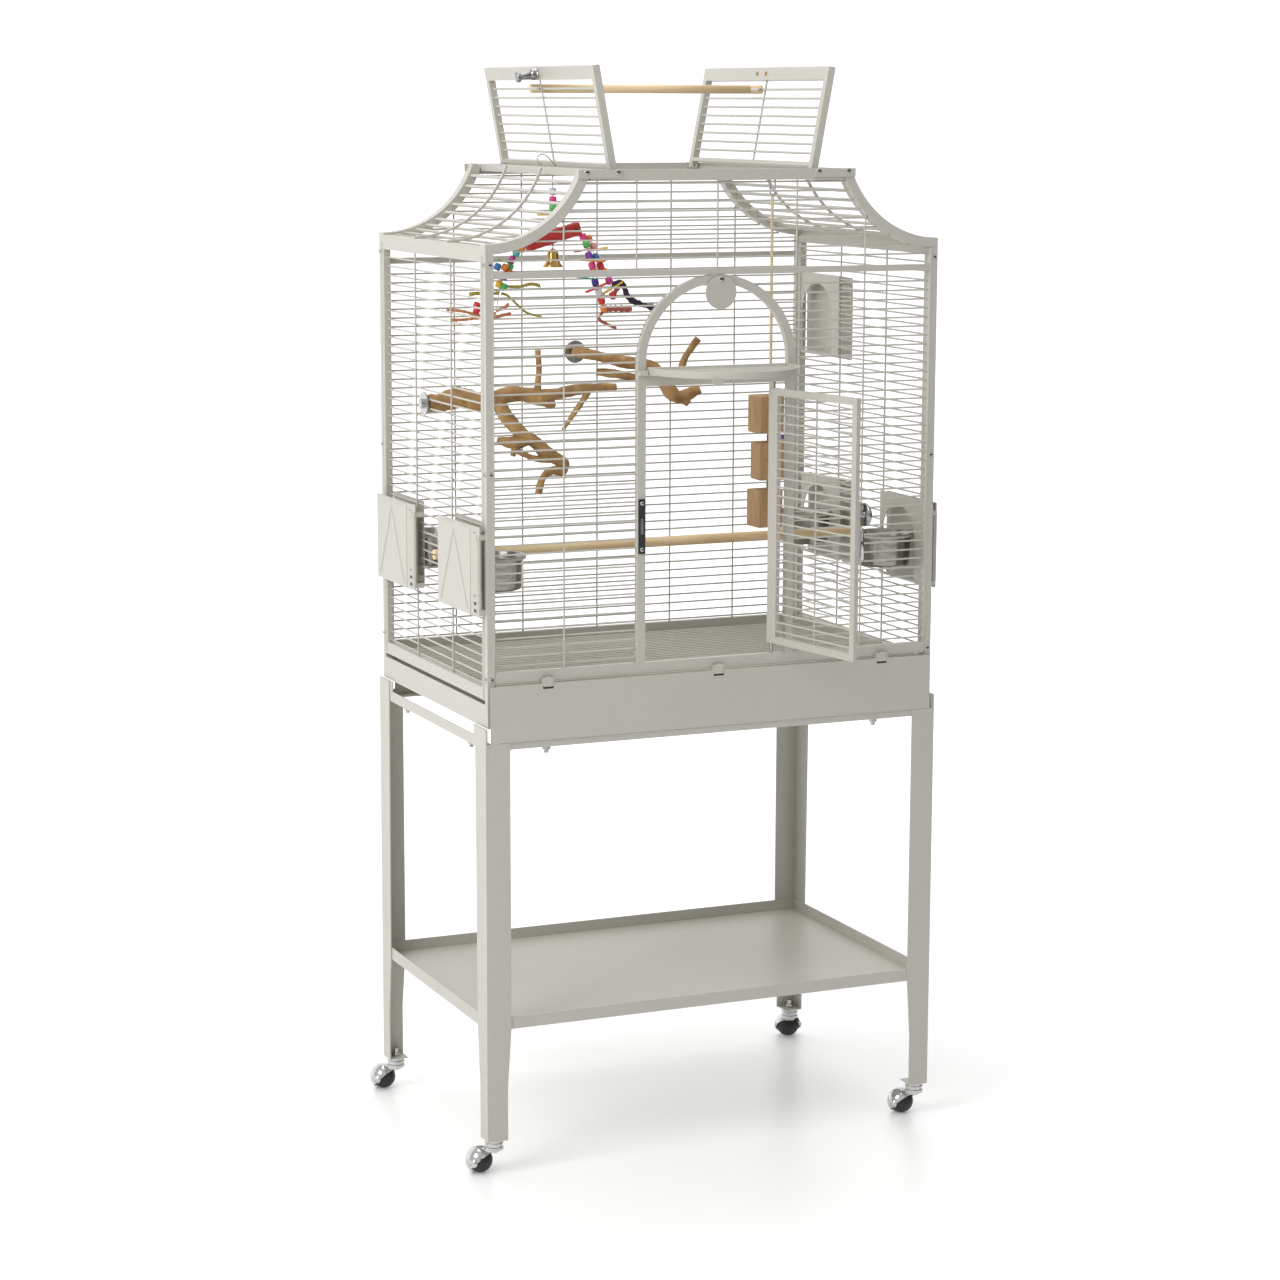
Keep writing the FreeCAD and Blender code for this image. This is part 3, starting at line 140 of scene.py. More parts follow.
branch_wood = surface("branch_wood", (0.50, 0.30, 0.115), (0.23, 0.12, 0.04), rough=0.62,
                      scale=38.0, detail=9.0, bump=0.5, low=0.3, high=0.66, mottle=0.2)
cut_wood = surface("cut_wood", (0.70, 0.52, 0.30), (0.52, 0.35, 0.18), rough=0.7,
                   scale=140.0, bump=0.2)
red_wood = surface("red_wood", (0.55, 0.035, 0.03), (0.38, 0.02, 0.02), rough=0.5,
                   scale=70.0, stretch=(0.2, 1, 1), bump=0.15)
sisal = surface("sisal", (0.86, 0.73, 0.49), (0.64, 0.50, 0.30), rough=0.85,
                scale=500.0, stretch=(1, 1, 0.3), bump=0.4)
card = surface("cardboard", (0.47, 0.30, 0.155), (0.37, 0.225, 0.11), rough=0.8,
               scale=160.0, stretch=(1, 1, 0.15), bump=0.12, mottle=0.1)
# Dark brown for lines on the cartons, and for their holes, where it is painted shade inside the hole.
carton_lines_and_hole_shade = surface("cardboard_lines_and_hole_shade", (0.30, 0.18, 0.085), (0.18, 0.10, 0.045), rough=0.85,
                    scale=120.0, bump=0.3)
thread = surface("thread", (0.80, 0.78, 0.72), (0.62, 0.60, 0.54), rough=0.8, scale=600.0, bump=0.3)


def bright(name, color, rough=0.3):
    """A dyed or painted colour, for beads, slats and yarn."""
    soft = tuple(c * 0.8 for c in color)
    return surface(name, color, soft, rough=rough, scale=120.0, bump=0.05, coat=0.2)


YARN_ROUGH = 0.9
pink = bright("bead_pink", (0.80, 0.05, 0.25))
green = bright("bead_green", (0.10, 0.52, 0.12))
purple = bright("bead_purple", (0.25, 0.06, 0.42))
yellow = bright("bead_yellow", (0.86, 0.56, 0.04))
orange = bright("bead_orange", (0.85, 0.25, 0.03))
lilac = bright("bead_lilac", (0.62, 0.58, 0.78))
teal = bright("bead_teal", (0.05, 0.45, 0.38))
red = bright("bead_red", (0.68, 0.03, 0.03))
white = bright("bead_white", (0.80, 0.80, 0.82))
blue = bright("bead_blue", (0.06, 0.22, 0.62))
navy_bead = bright("bead_navy", (0.04, 0.03, 0.30))
magenta = bright("bead_magenta", (0.58, 0.05, 0.28))
blush = bright("bead_blush", (0.85, 0.40, 0.45))
dark_green = bright("slat_green", (0.03, 0.22, 0.05))
plum = bright("yarn_plum", (0.030, 0.012, 0.040), YARN_ROUGH)
olive = bright("yarn_olive", (0.42, 0.36, 0.07), YARN_ROUGH)
rust = bright("yarn_rust", (0.66, 0.27, 0.13), YARN_ROUGH)
faded_red = bright("yarn_faded_red", (0.48, 0.12, 0.10), YARN_ROUGH)


# Mesh pieces

MOST_BEVEL = 0.45                   # share of half a side
FINE_SHARE, FINE_PITCH = 0.5, 3     # second layer of a rough skin, against the first


def along(start, direction):
    """A matrix that puts local +Z along a direction from a point."""
    turn = Vector(direction).to_track_quat("Z", "Y").to_matrix().to_4x4()
    return Matrix.Translation(Vector(start)) @ turn


class Piece:
    """Collects shapes in millimetres and makes one object of them."""

    def __init__(self, name):
        self.name = name
        self.verts, self.faces, self.mats, self.marks, self.smooth = [], [], [], [], []

    def add(self, verts, faces, mat, smooth=True, matrix=None):
        if mat not in self.mats:
            self.mats.append(mat)
        base = len(self.verts)
        self.verts += [matrix @ Vector(v) if matrix else Vector(v) for v in verts]
        self.faces += [[base + i for i in f] for f in faces]
        self.marks += [self.mats.index(mat)] * len(faces)
        self.smooth += [smooth] * len(faces)

    def box(self, center, size, mat, matrix=None, bevel=0.8):
        """A box with its edges cut off."""
        hx, hy, hz = (s / 2 for s in size)
        b = min(bevel, hx * MOST_BEVEL, hy * MOST_BEVEL, hz * MOST_BEVEL)
        corners = [(sx, sy, sz) for sx in (-1, 1) for sy in (-1, 1) for sz in (-1, 1)]
        verts, index, faces = [], {}, []
        for sx, sy, sz in corners:
            corner = ((sx * hx, sy * (hy - b), sz * (hz - b)),
                      (sx * (hx - b), sy * hy, sz * (hz - b)),
                      (sx * (hx - b), sy * (hy - b), sz * hz))
            for axis, p in enumerate(corner):
                index[sx, sy, sz, axis] = len(verts)
                verts.append(Vector(p) + Vector(center))
        for s in (-1, 1):
            ring = [(-1, -1), (1, -1), (1, 1), (-1, 1)]
            ring = ring if s > 0 else ring[::-1]
            faces.append([index[s, a, c, 0] for a, c in ring])
            faces.append([index[c, s, a, 1] for a, c in ring])
            faces.append([index[a, c, s, 2] for a, c in ring])
        for s in (-1, 1):
            for t in (-1, 1):
                for quad in ([(s, t, -1, 0), (s, t, -1, 1), (s, t, 1, 1), (s, t, 1, 0)],
                             [(-1, s, t, 1), (-1, s, t, 2), (1, s, t, 2), (1, s, t, 1)],
                             [(t, -1, s, 2), (t, -1, s, 0), (t, 1, s, 0), (t, 1, s, 2)]):
                    face = [index[q] for q in quad]
                    faces.append(face if s * t > 0 else face[::-1])
        for sx, sy, sz in corners:
            face = [index[sx, sy, sz, a] for a in range(3)]
            faces.append(face if sx * sy * sz > 0 else face[::-1])
        self.add(verts, faces, mat, False, matrix)

    def lathe(self, profile, mat, matrix=None, segments=40, smooth=True):
        """Radius and height pairs turned about local Z; ends on the axis close themselves."""
        verts, faces, rings = [], [], []
        for r, z in profile:
            if r < 1e-6:
                rings.append([len(verts)])
                verts.append((0, 0, z))
            else:
                rings.append(list(range(len(verts), len(verts) + segments)))
                for k in range(segments):
                    a = 2 * math.pi * k / segments
                    verts.append((r * math.cos(a), r * math.sin(a), z))
        for lower, upper in zip(rings, rings[1:]):
            for k in range(segments):
                n = (k + 1) % segments
                if len(lower) == 1 and len(upper) > 1:
                    faces.append([lower[0], upper[n], upper[k]])
                elif len(upper) == 1 and len(lower) > 1:
                    faces.append([lower[k], lower[n], upper[0]])
                elif len(lower) > 1:
                    faces.append([lower[k], lower[n], upper[n], upper[k]])
        self.add(verts, faces, mat, smooth, matrix)

    def rod(self, start, end, radius, mat, segments=16):
        length = (Vector(end) - Vector(start)).length
        profile = [(0, 0), (radius, 0), (radius, length), (0, length)]
        self.lathe(profile, mat, along(start, Vector(end) - Vector(start)), segments)

    def tube(self, points, radii, mat, segments=10, rough=0.0, pitch=0.08, cap=None):
        """A tube through points; rough pushes its skin in and out by a share of its radius."""
        pts = [Vector(p) for p in points]
        verts, faces = [], []
        side = None
        for i, p in enumerate(pts):
            ahead = (pts[min(i + 1, len(pts) - 1)] - pts[max(i - 1, 0)]).normalized()
            if side is None:
                side = ahead.orthogonal().normalized()
            side = (side - ahead * side.dot(ahead)).normalized()
            other = ahead.cross(side)
            r = radii[i] if hasattr(radii, "__len__") else radii
            for k in range(segments):
                a = 2 * math.pi * k / segments
                out = side * math.cos(a) + other * math.sin(a)
                swell = 1.0
                if rough:
                    at = (p + out * r) * pitch
                    swell += rough * noise.noise(at) + rough * FINE_SHARE * noise.noise(at * FINE_PITCH)
                verts.append(p + out * r * swell)
        for i in range(0, (len(pts) - 1) * segments, segments):
            for k in range(segments):
                n = (k + 1) % segments
                faces.append([i + k, i + n, i + segments + n, i + segments + k])
        self.add(verts, faces, mat, True)
        self.add(verts[:segments], [list(range(segments))[::-1]], cap or mat, False)
        self.add(verts[-segments:], [list(range(segments))], cap or mat, False)

    def done(self, body, slot, *nodes):
        """Makes the object, which rides a body and may stand in for CAD nodes."""
        mesh = bpy.data.meshes.new(self.name)
        mesh.from_pydata([v * MM for v in self.verts], [], self.faces)
        for mat in self.mats:
            mesh.materials.append(mat)
        for polygon, mark, smooth in zip(mesh.polygons, self.marks, self.smooth):
            polygon.material_index = mark
            polygon.use_smooth = smooth
        mesh.update()
        obj = bpy.data.objects.new(self.name, mesh)
        bpy.context.scene.collection.objects.link(obj)
        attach(obj, body)
        if nodes:
            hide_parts(*nodes)
        return obj


def smooth_path(points, steps=8):
    """Points of a smooth line through the given ones, each with as many numbers as it has."""
    out = []
    n = len(points)
    for i in range(n - 1):
        p0, p1, p2, p3 = (points[max(min(j, n - 1), 0)] for j in (i - 1, i, i + 1, i + 2))
        for s in range(steps):
            t = s / steps
            out.append([0.5 * (2 * b + (c - a) * t + (2 * a - 5 * b + 4 * c - d) * t * t
                               + (3 * b - a - 3 * c + d) * t ** 3)
                        for a, b, c, d in zip(p0, p1, p2, p3)])
    out.append(list(points[-1]))
    return out


def center_of(node):
    low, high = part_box(node)
    return (Vector(low) + Vector(high)) * (PER_M / 2)


def turned(degrees, axis):
    return Matrix.Rotation(math.radians(degrees), 4, axis)


# CAD pieces that are shown as they are

PAINT = {
    "powder_coat": powder, "zinc": zinc, "chrome": chrome, "black_metal": black_metal,
    "ball_plastic": rubber, "bowl_steel": steel, "dowel": dowel, "bark": branch_wood,
    "red_wood": red_wood, "beads": pink, "sisal": sisal, "cardboard": card,
}
for entry in frame["record"]["subparts"]:
    node = frame["nodes"][entry["node"]]
    mat = PAINT[entry["material_slot"]]
    if entry["node"].startswith(("caster_hood", "caster_stems")):
        mat = chrome
    # The grate gets the lighter coat, which is partly painted light.
    if entry["node"] == "floor_grate":
        mat = grate_coat_and_painted_light
    if not node.data.materials:
        node.data.materials.append(mat)
    for i in range(len(node.data.materials)):
        node.data.materials[i] = mat


# Branches: limbs as points with radii, counted from the stud on the wall

LEFT_STUD = (-395.9, 40.7, 1255.7)
LEFT_LIMBS = [
    [(0.3, 0, 0, 16), (20, 0, 0, 16.5), (55, -5, 7, 17), (90, -8, 0, 15.5), (118, -11, 6, 14.5),
     (156, -15, 13, 12.5), (191, -19, 6, 14.5), (205, -21, 8, 11.5), (232, -25, 12, 10.5),
     (280, -33, 19, 8), (325, -41, 20, 6.5)],
    [(191, -19, 6, 8), (190, -20, 30, 5.5), (191, -23, 55, 5), (187, -27, 86, 5)],
    [(280, -33, 19, 6), (262, -39, -4, 5), (223, -51, -48, 3.6)],
    [(118, -11, 6, 12), (140, -19, -36, 12.5), (173, -27, -64, 11.5), (206, -35, -92, 10.5),
     (227, -41, -106, 10.5), (226, -41, -119, 9), (205, -47, -117, 7.5), (186, -52, -128, 6.5),
     (176, -55, -154, 5.5)],
    [(176, -27, -62, 11), (150, -22, -70, 11.5), (117, -16, -65, 6)],
    [(150, -22, -72, 8), (142, -24, -92, 4.5)],
    [(215, -37, -100, 6), (180, -31, -97, 5), (152, -25, -84, 6)],
    [(191, -19, 2, 9), (212, -22, -6, 7.5), (220, -23, -6, 5)],
]
BACK_STUD = (-41, 248.4, 1316.3)
BACK_LIMBS = [
    [(0, -0.3, 0, 9.5), (0, -16, 0, 10), (40, -24, -9, 9.5), (79, -33, -18, 10.5),
     (123, -53, -28, 11.5), (147, -78, -66, 13), (160, -90, -77, 12), (192, -108, -63, 8.5)],
    [(123, -53, -30, 9), (96, -43, -44, 8), (60, -30, -38, 7.5), (30, -17, -35, 7)],
    [(138, -68, -52, 9), (162, -83, -36, 7.5), (172, -88, -8, 6.5), (192, -98, 26, 6)],
    [(150, -84, -70, 11), (168, -96, -84, 8), (174, -100, -90, 6)],
]
KNOT_SHARE, KNOT_PITCH = 0.16, 0.03     # slow swelling of a limb along its length
BARK_SHARE, BARK_PITCH = 0.2, 0.055     # rough skin


def branch(name, node, stud, limbs):
    """Gnarled wood with cut ends."""
    piece = Piece(name)
    for points in limbs:
        line = smooth_path([(*(Vector(p[:3]) + Vector(stud)), p[3]) for p in points], 10)
        radii = [p[3] * (1.0 + KNOT_SHARE * noise.noise(Vector(p[:3]) * KNOT_PITCH)) for p in line]
        piece.tube([p[:3] for p in line], radii, branch_wood, 20,
                   rough=BARK_SHARE, pitch=BARK_PITCH, cap=cut_wood)
    piece.done("cage", "bark", node)


branch("branch_left_wood", "branch_left", LEFT_STUD, LEFT_LIMBS)
branch("branch_back_wood", "branch_back", BACK_STUD, BACK_LIMBS)


# Dowel across the open roof flaps, its forked ends over a bar of each flap. It lies loose and is
# lifted off before a flap closes, so it rides the cage.

def forked_dowel(piece, start, end, y, z, radius, slot_half, depth):
    piece.rod((start + depth, y, z), (end - depth, y, z), radius, dowel, 28)
    begin = math.asin(slot_half / radius)
    angles = [begin + (math.pi - 2 * begin) * k / 14 for k in range(15)]
    for x0, x1 in ((start, start + depth), (end - depth, end)):
        for flip in (1, -1):
            ring = [(y + radius * math.cos(a), z + flip * radius * math.sin(a)) for a in angles]
            verts = [(x0, *p) for p in ring] + [(x1, *p) for p in ring]
            n = len(ring)
            faces = [list(range(n)), list(range(n, 2 * n))[::-1]]
            faces += [[(k + 1) % n, k, n + k, n + (k + 1) % n] for k in range(n)]
            piece.add(verts, [f[::-1] for f in faces] if flip > 0 else faces, dowel, False)


roof_dowel = Piece("roof_dowel")
forked_dowel(roof_dowel, start=-222, end=204, y=10, z=1775.7, radius=7.2, slot_half=2.2, depth=24)
roof_dowel.done("cage", "dowel")

# Bowls

BOWL_LIP = 1.2
for corner in ("left_front", "left_back", "right_front", "right_back"):
    node = "bowl_" + corner
    low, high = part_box(node)
    middle = center_of(node)
    bowl = Piece(node + "_steel")
    deep = (high[2] - low[2]) * PER_M - BOWL_LIP
    outside = [(0, -deep), (41, -deep), (44, 1.2 - deep), (45.4, 5 - deep), (48.2, -1), (48.4, 0.05)]
    lip = [(51, 0.1), (51.6, 0.7), (51, BOWL_LIP), (48.6, BOWL_LIP)]
    inside = [(47.2, 0.2), (44.2, 5.5 - deep), (42.5, 3 - deep), (40, 1.6 - deep), (0, 1.6 - deep)]
    place = Matrix.Translation((middle.x, middle.y, high[2] * PER_M - BOWL_LIP))
    bowl.lathe(outside + lip + inside, steel, place, 72)
    bowl.done("feeder_" + corner, "bowl_steel", node)

# Bell

BELL_OUTSIDE = [(0, -8.4), (3.5, -8.4), (4, -9.5), (8, -12.5), (9.6, -17), (10.2, -25), (12.5, -32),
                (16.8, -37.2), (17, -38.6)]
BELL_INSIDE = [(16.2, -38.6), (12, -33), (9.4, -25.5), (8.6, -17), (6.5, -13.5), (0, -11)]
BELL_LINK, BELL_LINK_R = 9, 1.1
bell = Piece("bell_brass")
bell_at = center_of("toy_bell")
bell_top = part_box("toy_bell")[1][2] * PER_M
bell.lathe(BELL_OUTSIDE + BELL_INSIDE, brass, Matrix.Translation((bell_at.x, bell_at.y, bell_top)), 40)
bell.rod((bell_at.x, bell_at.y, bell_top), (bell_at.x, bell_at.y, bell_top - BELL_LINK), BELL_LINK_R,
         zinc, 10)
bell.done("bell", "chrome", "toy_bell")

# Bar toy: red bar, hook, strands of beads and slats, yarn

BAR_SIZE, BAR_TILT = (100, 14, 22), -16
BAR_HOLE = [(0, -0.2), (3, -0.2), (3, 0.15), (0, 0.15)]
BAR_HOLE_AT = (41, -7.1, 0)
bar_at = center_of("toy_bar")
hook_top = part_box("toy_beads")[1][2] * PER_M
bar = Piece("toy_bar_wood")
tilt = Matrix.Translation(bar_at) @ turned(BAR_TILT, "Y")
bar.box((0, 0, 0), BAR_SIZE, red_wood, tilt, 1.6)
# The hole is a thin black disc on the bar's face: painted shade inside it.
bar.lathe(BAR_HOLE, black_metal, tilt @ along(BAR_HOLE_AT, TOWARDS_FRONT), 16)
bar.done("bar_toy", "red_wood", "toy_bar")

THREAD_R, HOOK_WIRE_R = 0.9, 1.1
S_HOOK = [(0, -3), (4, -1.5), (6.7, 3), (6.7, 12), (3, 16), (-6, 26), (-18, 33), (-27, 28), (-26, 20),
          (-18, 15)]
strand = Piece("toy_strands")
hook_x, hook_y = -194.5, bar_at.y
strand.rod((hook_x, hook_y, hook_top), (hook_x, hook_y, bar_at.z + 12), THREAD_R, zinc, 8)
hook = Piece("toy_hook")
hook_line = [(hook_x + x, hook_y, hook_top + z) for x, z in smooth_path(S_HOOK, 5)]
hook.tube(hook_line, HOOK_WIRE_R, chrome, 10)
hook.done("cage", "zinc")

BEAD = [(1.2, -6.2), (4.6, -6), (6, -4.6), (6.3, 0), (6, 4.6), (4.6, 6), (1.2, 6.2)]
SLAT_WIDE, SLAT_THICK = 10, 3
SLAT_END = [(0, -1.5), (4.6, -1.5), (5, -0.8), (5, 0.8), (4.6, 1.5), (0, 1.5)]


def bead(x, z, mat, lean=0.0, size=1.0, y=0.0):
    place = Matrix.Translation((x, hook_y + y, z)) @ turned(lean, "Y") @ Matrix.Scale(size, 4)
    strand.lathe(BEAD, mat, place, 20)


def slat(x, z, length, mat, lean=0.0, turn=0.0, y=0.0):
    """A thin wooden strip with rounded ends, threaded flat on a strand."""
    place = Matrix.Translation((x, hook_y + y, z)) @ turned(lean, "Y") @ turned(turn, "Z")
    strand.box((0, 0, 0), (length, SLAT_WIDE, SLAT_THICK), mat, place, 0.9)
    for end in (-1, 1):
        strand.lathe(SLAT_END, mat, place @ Matrix.Translation((end * length / 2, 0, 0)), 18)


def string(points):
    """Thread through points that are counted from the hook in depth."""
    line = [(x, hook_y + y, z) for x, y, z in points]
    strand.tube(smooth_path(line, 6), THREAD_R, thread, 6)


# Beads are x, z and colour, then y where they differ; slats are x, z, length, colour, lean, turn and y.

for z, mat in ((1607, lilac), (1593, pink), (1580, green)):
    bead(hook_x, z, mat, 3)
slat(hook_x - 12, 1569, 22, yellow)

# Right pair of strands, from the bar down

string([(-154, 0, 1541), (-140, 0, 1531), (-129, 0, 1500), (-119, 0, 1455), (-102, 0, 1406)])
string([(-154, 2, 1541), (-126, 6, 1527), (-116, 6, 1497), (-98, 6, 1475), (-80, 4, 1424)])
for x, z, mat in ((-140, 1531, pink), (-134, 1519, green), (-129.5, 1500, purple), (-123.5, 1483, pink),
                  (-121.5, 1472, orange), (-118, 1455, navy_bead), (-111.5, 1438.5, white),
                  (-106.5, 1424.5, red), (-102.5, 1411, orange)):
    bead(x, z, mat, -14)
for x, z, mat in ((-127, 1528, orange), (-119, 1515, blush), (-115, 1497, blue), (-106, 1482, red),
                  (-99, 1472, orange), (-90, 1457, magenta), (-83, 1432, red)):
    bead(x, z, mat, -22, 1.0, 6)
for strip in ((-139, 1509.5, 34, red, -6, 20, -2), (-110, 1510.5, 24, yellow, -10, -25, 6),
              (-140, 1493, 24, yellow, 4, 30, 2), (-124, 1491.5, 32, orange, 3, -20, -4),
              (-101, 1491, 22, magenta, -8, 35, 8), (-138, 1463, 24, teal, 8, 0, 2),
              (-117, 1446.5, 38, red, -18, 15, -3), (-86, 1444.5, 38, yellow, -32, -10, 4)):
    slat(*strip)

# Left strand with its cluster

string([(-236, 0, 1521), (-258, 0, 1508), (-272, 0, 1488), (-286, 0, 1462), (-291, 0, 1442),
        (-298, 0, 1401)])
for x, z, mat, y in ((-250, 1513, orange, 0), (-261, 1506, teal, -3), (-267, 1496, magenta, 2),
                     (-269, 1483, green, 6), (-281, 1483, orange, -2), (-292, 1484, blue, 4),
                     (-272, 1473, yellow, 4), (-283, 1468, purple, -4), (-291, 1455, yellow, 0),
                     (-284, 1451, green, -5), (-331, 1413, red, 0), (-330, 1421, red, 2)):
    bead(x, z, mat, 25, 0.95, y)
for strip in ((-279, 1492.5, 26, dark_green, 12, 25, 0), (-286, 1474.5, 28, red, -6, -25, -4),
              (-290, 1464.5, 26, orange, 10, 40, 2)):
    slat(*strip)

YARN_TWIST = 7.0                    # length of one turn of the plies
PLY_OUT, PLY_R, FRAY_R = 0.45, 0.68, 0.3    # shares of the yarn's radius
FRAY_STRANDS = 4


def yarn(points, radius, mat):
    """Two soft plies wound round each other along a given line, with a frayed end."""
    line = [Vector((x, hook_y + y, z)) for x, y, z in smooth_path(points, 10)]
    for ply in range(2):
        wound, reach = [], 0.0
        for a, b in zip(line, line[1:]):
            reach += (b - a).length
            angle = 2 * math.pi * reach / YARN_TWIST + ply * math.pi
            wound.append(b + Vector((0, math.cos(angle), math.sin(angle))) * radius * PLY_OUT)
        strand.tube(wound, radius * PLY_R, mat, 8, rough=0.25, pitch=0.5)
    for _ in range(FRAY_STRANDS):
        spread = Vector((random.uniform(-3, 3), random.uniform(-3, 3), random.uniform(-4, 2)))
        strand.tube([line[-4], line[-1] + spread * 0.4, line[-1] + spread], radius * FRAY_R, mat, 5)


yarn([(-286, -2, 1452), (-257, -4, 1451), (-236, -5, 1455), (-221, -5, 1452)], 3.0, olive)
yarn([(-288, -2, 1440), (-278, -4, 1437), (-263, -6, 1423), (-245, -7, 1408), (-218, -8, 1400)], 2.4,
     olive)
yarn([(-290, 0, 1441), (-312, 2, 1440), (-328, 3, 1441), (-341, 4, 1440)], 3.2, olive)
yarn([(-297, -1, 1408), (-327, -2, 1405), (-354, -3, 1412), (-384, -3, 1416)], 2.8, rust)
yarn([(-297, 1, 1401), (-330, 2, 1400), (-354, 3, 1398), (-373, 3, 1398)], 2.8, rust)
yarn([(-297, -3, 1412), (-285, -5, 1416), (-277, -6, 1422)], 3.0, rust)
yarn([(-298, 1, 1400), (-285, 0, 1404), (-272, -1, 1406)], 3.0, rust)
yarn([(-84, 4, 1450), (-68, 2, 1452), (-58, 0, 1430), (-41, -2, 1419), (-14, -3, 1411)], 6.0, plum)
yarn([(-102, 0, 1410), (-80, -2, 1411), (-56, -4, 1409)], 6.0, faded_red)
yarn([(-100, 0, 1409), (-112, -2, 1395), (-99, -4, 1385), (-83, -5, 1379)], 3.2, faded_red)
yarn([(-84, 5, 1432), (-76, 4, 1443), (-70, 3, 1451)], 4.5, faded_red)
strand.done("bar_toy", "beads", "toy_beads")

# Carton toy: spring clip, rope, cartons with beads between

CLIP_BEND, CLIP_WIRE_R, CLIP_WIRES = 4.6, 1.4, 3
CLIP_STEPS = 28
clip_low, clip_high = (Vector(v) * PER_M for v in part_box("toy_clip"))
clip_at = center_of("toy_clip")
clip = Piece("toy_clip_wire")
straight = (clip_high.z - clip_low.z - CLIP_WIRES) / 2 - CLIP_BEND
loop = []
for k in range(CLIP_STEPS + 1):
    a = 2 * math.pi * k / CLIP_STEPS
    lift = math.copysign(straight, math.sin(a) + 1e-9)
    loop.append((clip_at.x + CLIP_BEND * math.cos(a), clip_at.y,
                 clip_at.z + math.sin(a) * CLIP_BEND + lift))
clip.tube(loop, CLIP_WIRE_R, zinc, 10)
clip.done("carton_toy", "zinc", "toy_clip")

ROPE_PLIES, ROPE_PLY_R, ROPE_PLY_OUT = 3, 1.6, 1.4
ROPE_LAY = 0.015                    # metres for one turn of a ply
rope_low, rope_high = (Vector(v) * PER_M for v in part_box("toy_rope"))
rope_at = center_of("toy_rope")
rope_route = bpy.data.curves.new("rope_route", "CURVE")
rope_route.dimensions = "3D"
spline = rope_route.splines.new("NURBS")
spline.points.add(2)
for point, share in zip(spline.points, (0.0, 0.5, 1.0)):
    drop = rope_high.z + (rope_low.z - rope_high.z) * share
    point.co = (rope_at.x * MM, rope_at.y * MM, drop * MM, 1)
spline.order_u = 3
spline.use_endpoint_u = True
spline.resolution_u = 64
route_obj = bpy.data.objects.new("rope_route", rope_route)
route_mesh = bpy.data.meshes.new_from_object(route_obj)
rope_path = [v.co.copy() for v in route_mesh.vertices]
bpy.data.objects.remove(route_obj)
bpy.data.meshes.remove(route_mesh)
rope = Piece("sisal_rope")
for ply in range(ROPE_PLIES):
    line = []
    for p in rope_path:
        a = 2 * math.pi * ((rope_path[0].z - p.z) / ROPE_LAY + ply / ROPE_PLIES)
        line.append(p * PER_M + Vector((math.cos(a), math.sin(a), 0)) * ROPE_PLY_OUT)
    rope.tube(line, ROPE_PLY_R, sisal, 8, rough=0.12, pitch=0.9)
rope_obj = rope.done("carton_toy", "sisal", "toy_rope")

CARTON_WIDE, CARTON_DEEP, CARTON_TALL = 47, 45, 65.0
CARTON_HOLE = [(0, 0), (4, 0), (4, 0.4), (0, 0.4)]
SPACER = [(0, -7.6), (5, -7), (6.4, 0), (5, 7), (0, 7.6)]
SPACER_DROP = 8.2                   # middle of a spacer bead below its carton
cartons = Piece("cartons")
carton_low, carton_high = (Vector(v) * PER_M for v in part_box("toy_cartons"))
carton_pitch = (carton_high.z - carton_low.z - CARTON_TALL) / 2
for k, (shift, twist) in enumerate(((-8.0, 4), (-4.0, -5), (-9.0, 3))):
    top = carton_high.z - k * carton_pitch
    middle = (rope_at.x + shift, rope_at.y, top - CARTON_TALL / 2)
    turn = Matrix.Translation(middle) @ turned(twist, "Z")
    cartons.box((0, 0, 0), (CARTON_WIDE, CARTON_DEEP, CARTON_TALL - 1), card, turn, 1.4)
    cartons.box((0, -22.8, 8 - 5 * k), (30, 0.8, 0.8), carton_lines_and_hole_shade, turn, 0.2)
    cartons.box((23.8, 0, 0), (0.8, 0.7, CARTON_TALL - 4), carton_lines_and_hole_shade, turn, 0.2)
    # The hole is a thin dark disc on the carton's face: painted shade inside it.
    cartons.lathe(CARTON_HOLE, carton_lines_and_hole_shade, turn @ along((8, -22.6, -9), TOWARDS_FRONT), 18)
    if k < 2:
        spacer_at = (rope_at.x, rope_at.y, top - CARTON_TALL - SPACER_DROP)
        cartons.lathe(SPACER, (pink, green)[k], Matrix.Translation(spacer_at), 20)
tag_at = (rope_at.x + 24, rope_at.y - 10, carton_high.z - CARTON_TALL - 8)
cartons.box(tag_at, (22, 4, 9), purple, None, 1.0)
cartons.done("carton_toy", "cardboard", "toy_cartons")


# Screws: faces are half spans from the middle of the cage

WALL_FACE, WALL_SCREW_X = 257.55, 398       # front and back walls
SIDE_FACE, SIDE_SCREW_Y = 405.05, 251.5     # side walls
WALL_SCREW_Z = (835, 1167, 1500)
ROOF_FACE, ROOF_SCREW_X = 260.1, (179, 233)
FLAP_PIVOT_X, FLAP_PIVOT_Z = 179, 1644


def screw(piece, at, normal, radius, mat):
    """A domed head with a crossed slot, whose slot is drawn as black bars: painted shade in the recess.
    """
    matrix = along(at, normal)
    dome = [(radius, 0), (radius, 0.5), (radius * 0.86, 1.1), (radius * 0.5, 1.7), (0, 1.9)]
    piece.lathe(dome, mat, matrix, 24)
    for turn in (0.4, 0.4 + math.pi / 2):
        slot = matrix @ Matrix.Rotation(turn, 4, "Z")
        piece.box((0, 0, 1.75), (radius * 1.1, radius * 0.28, 0.5), black_metal, slot, 0.05)


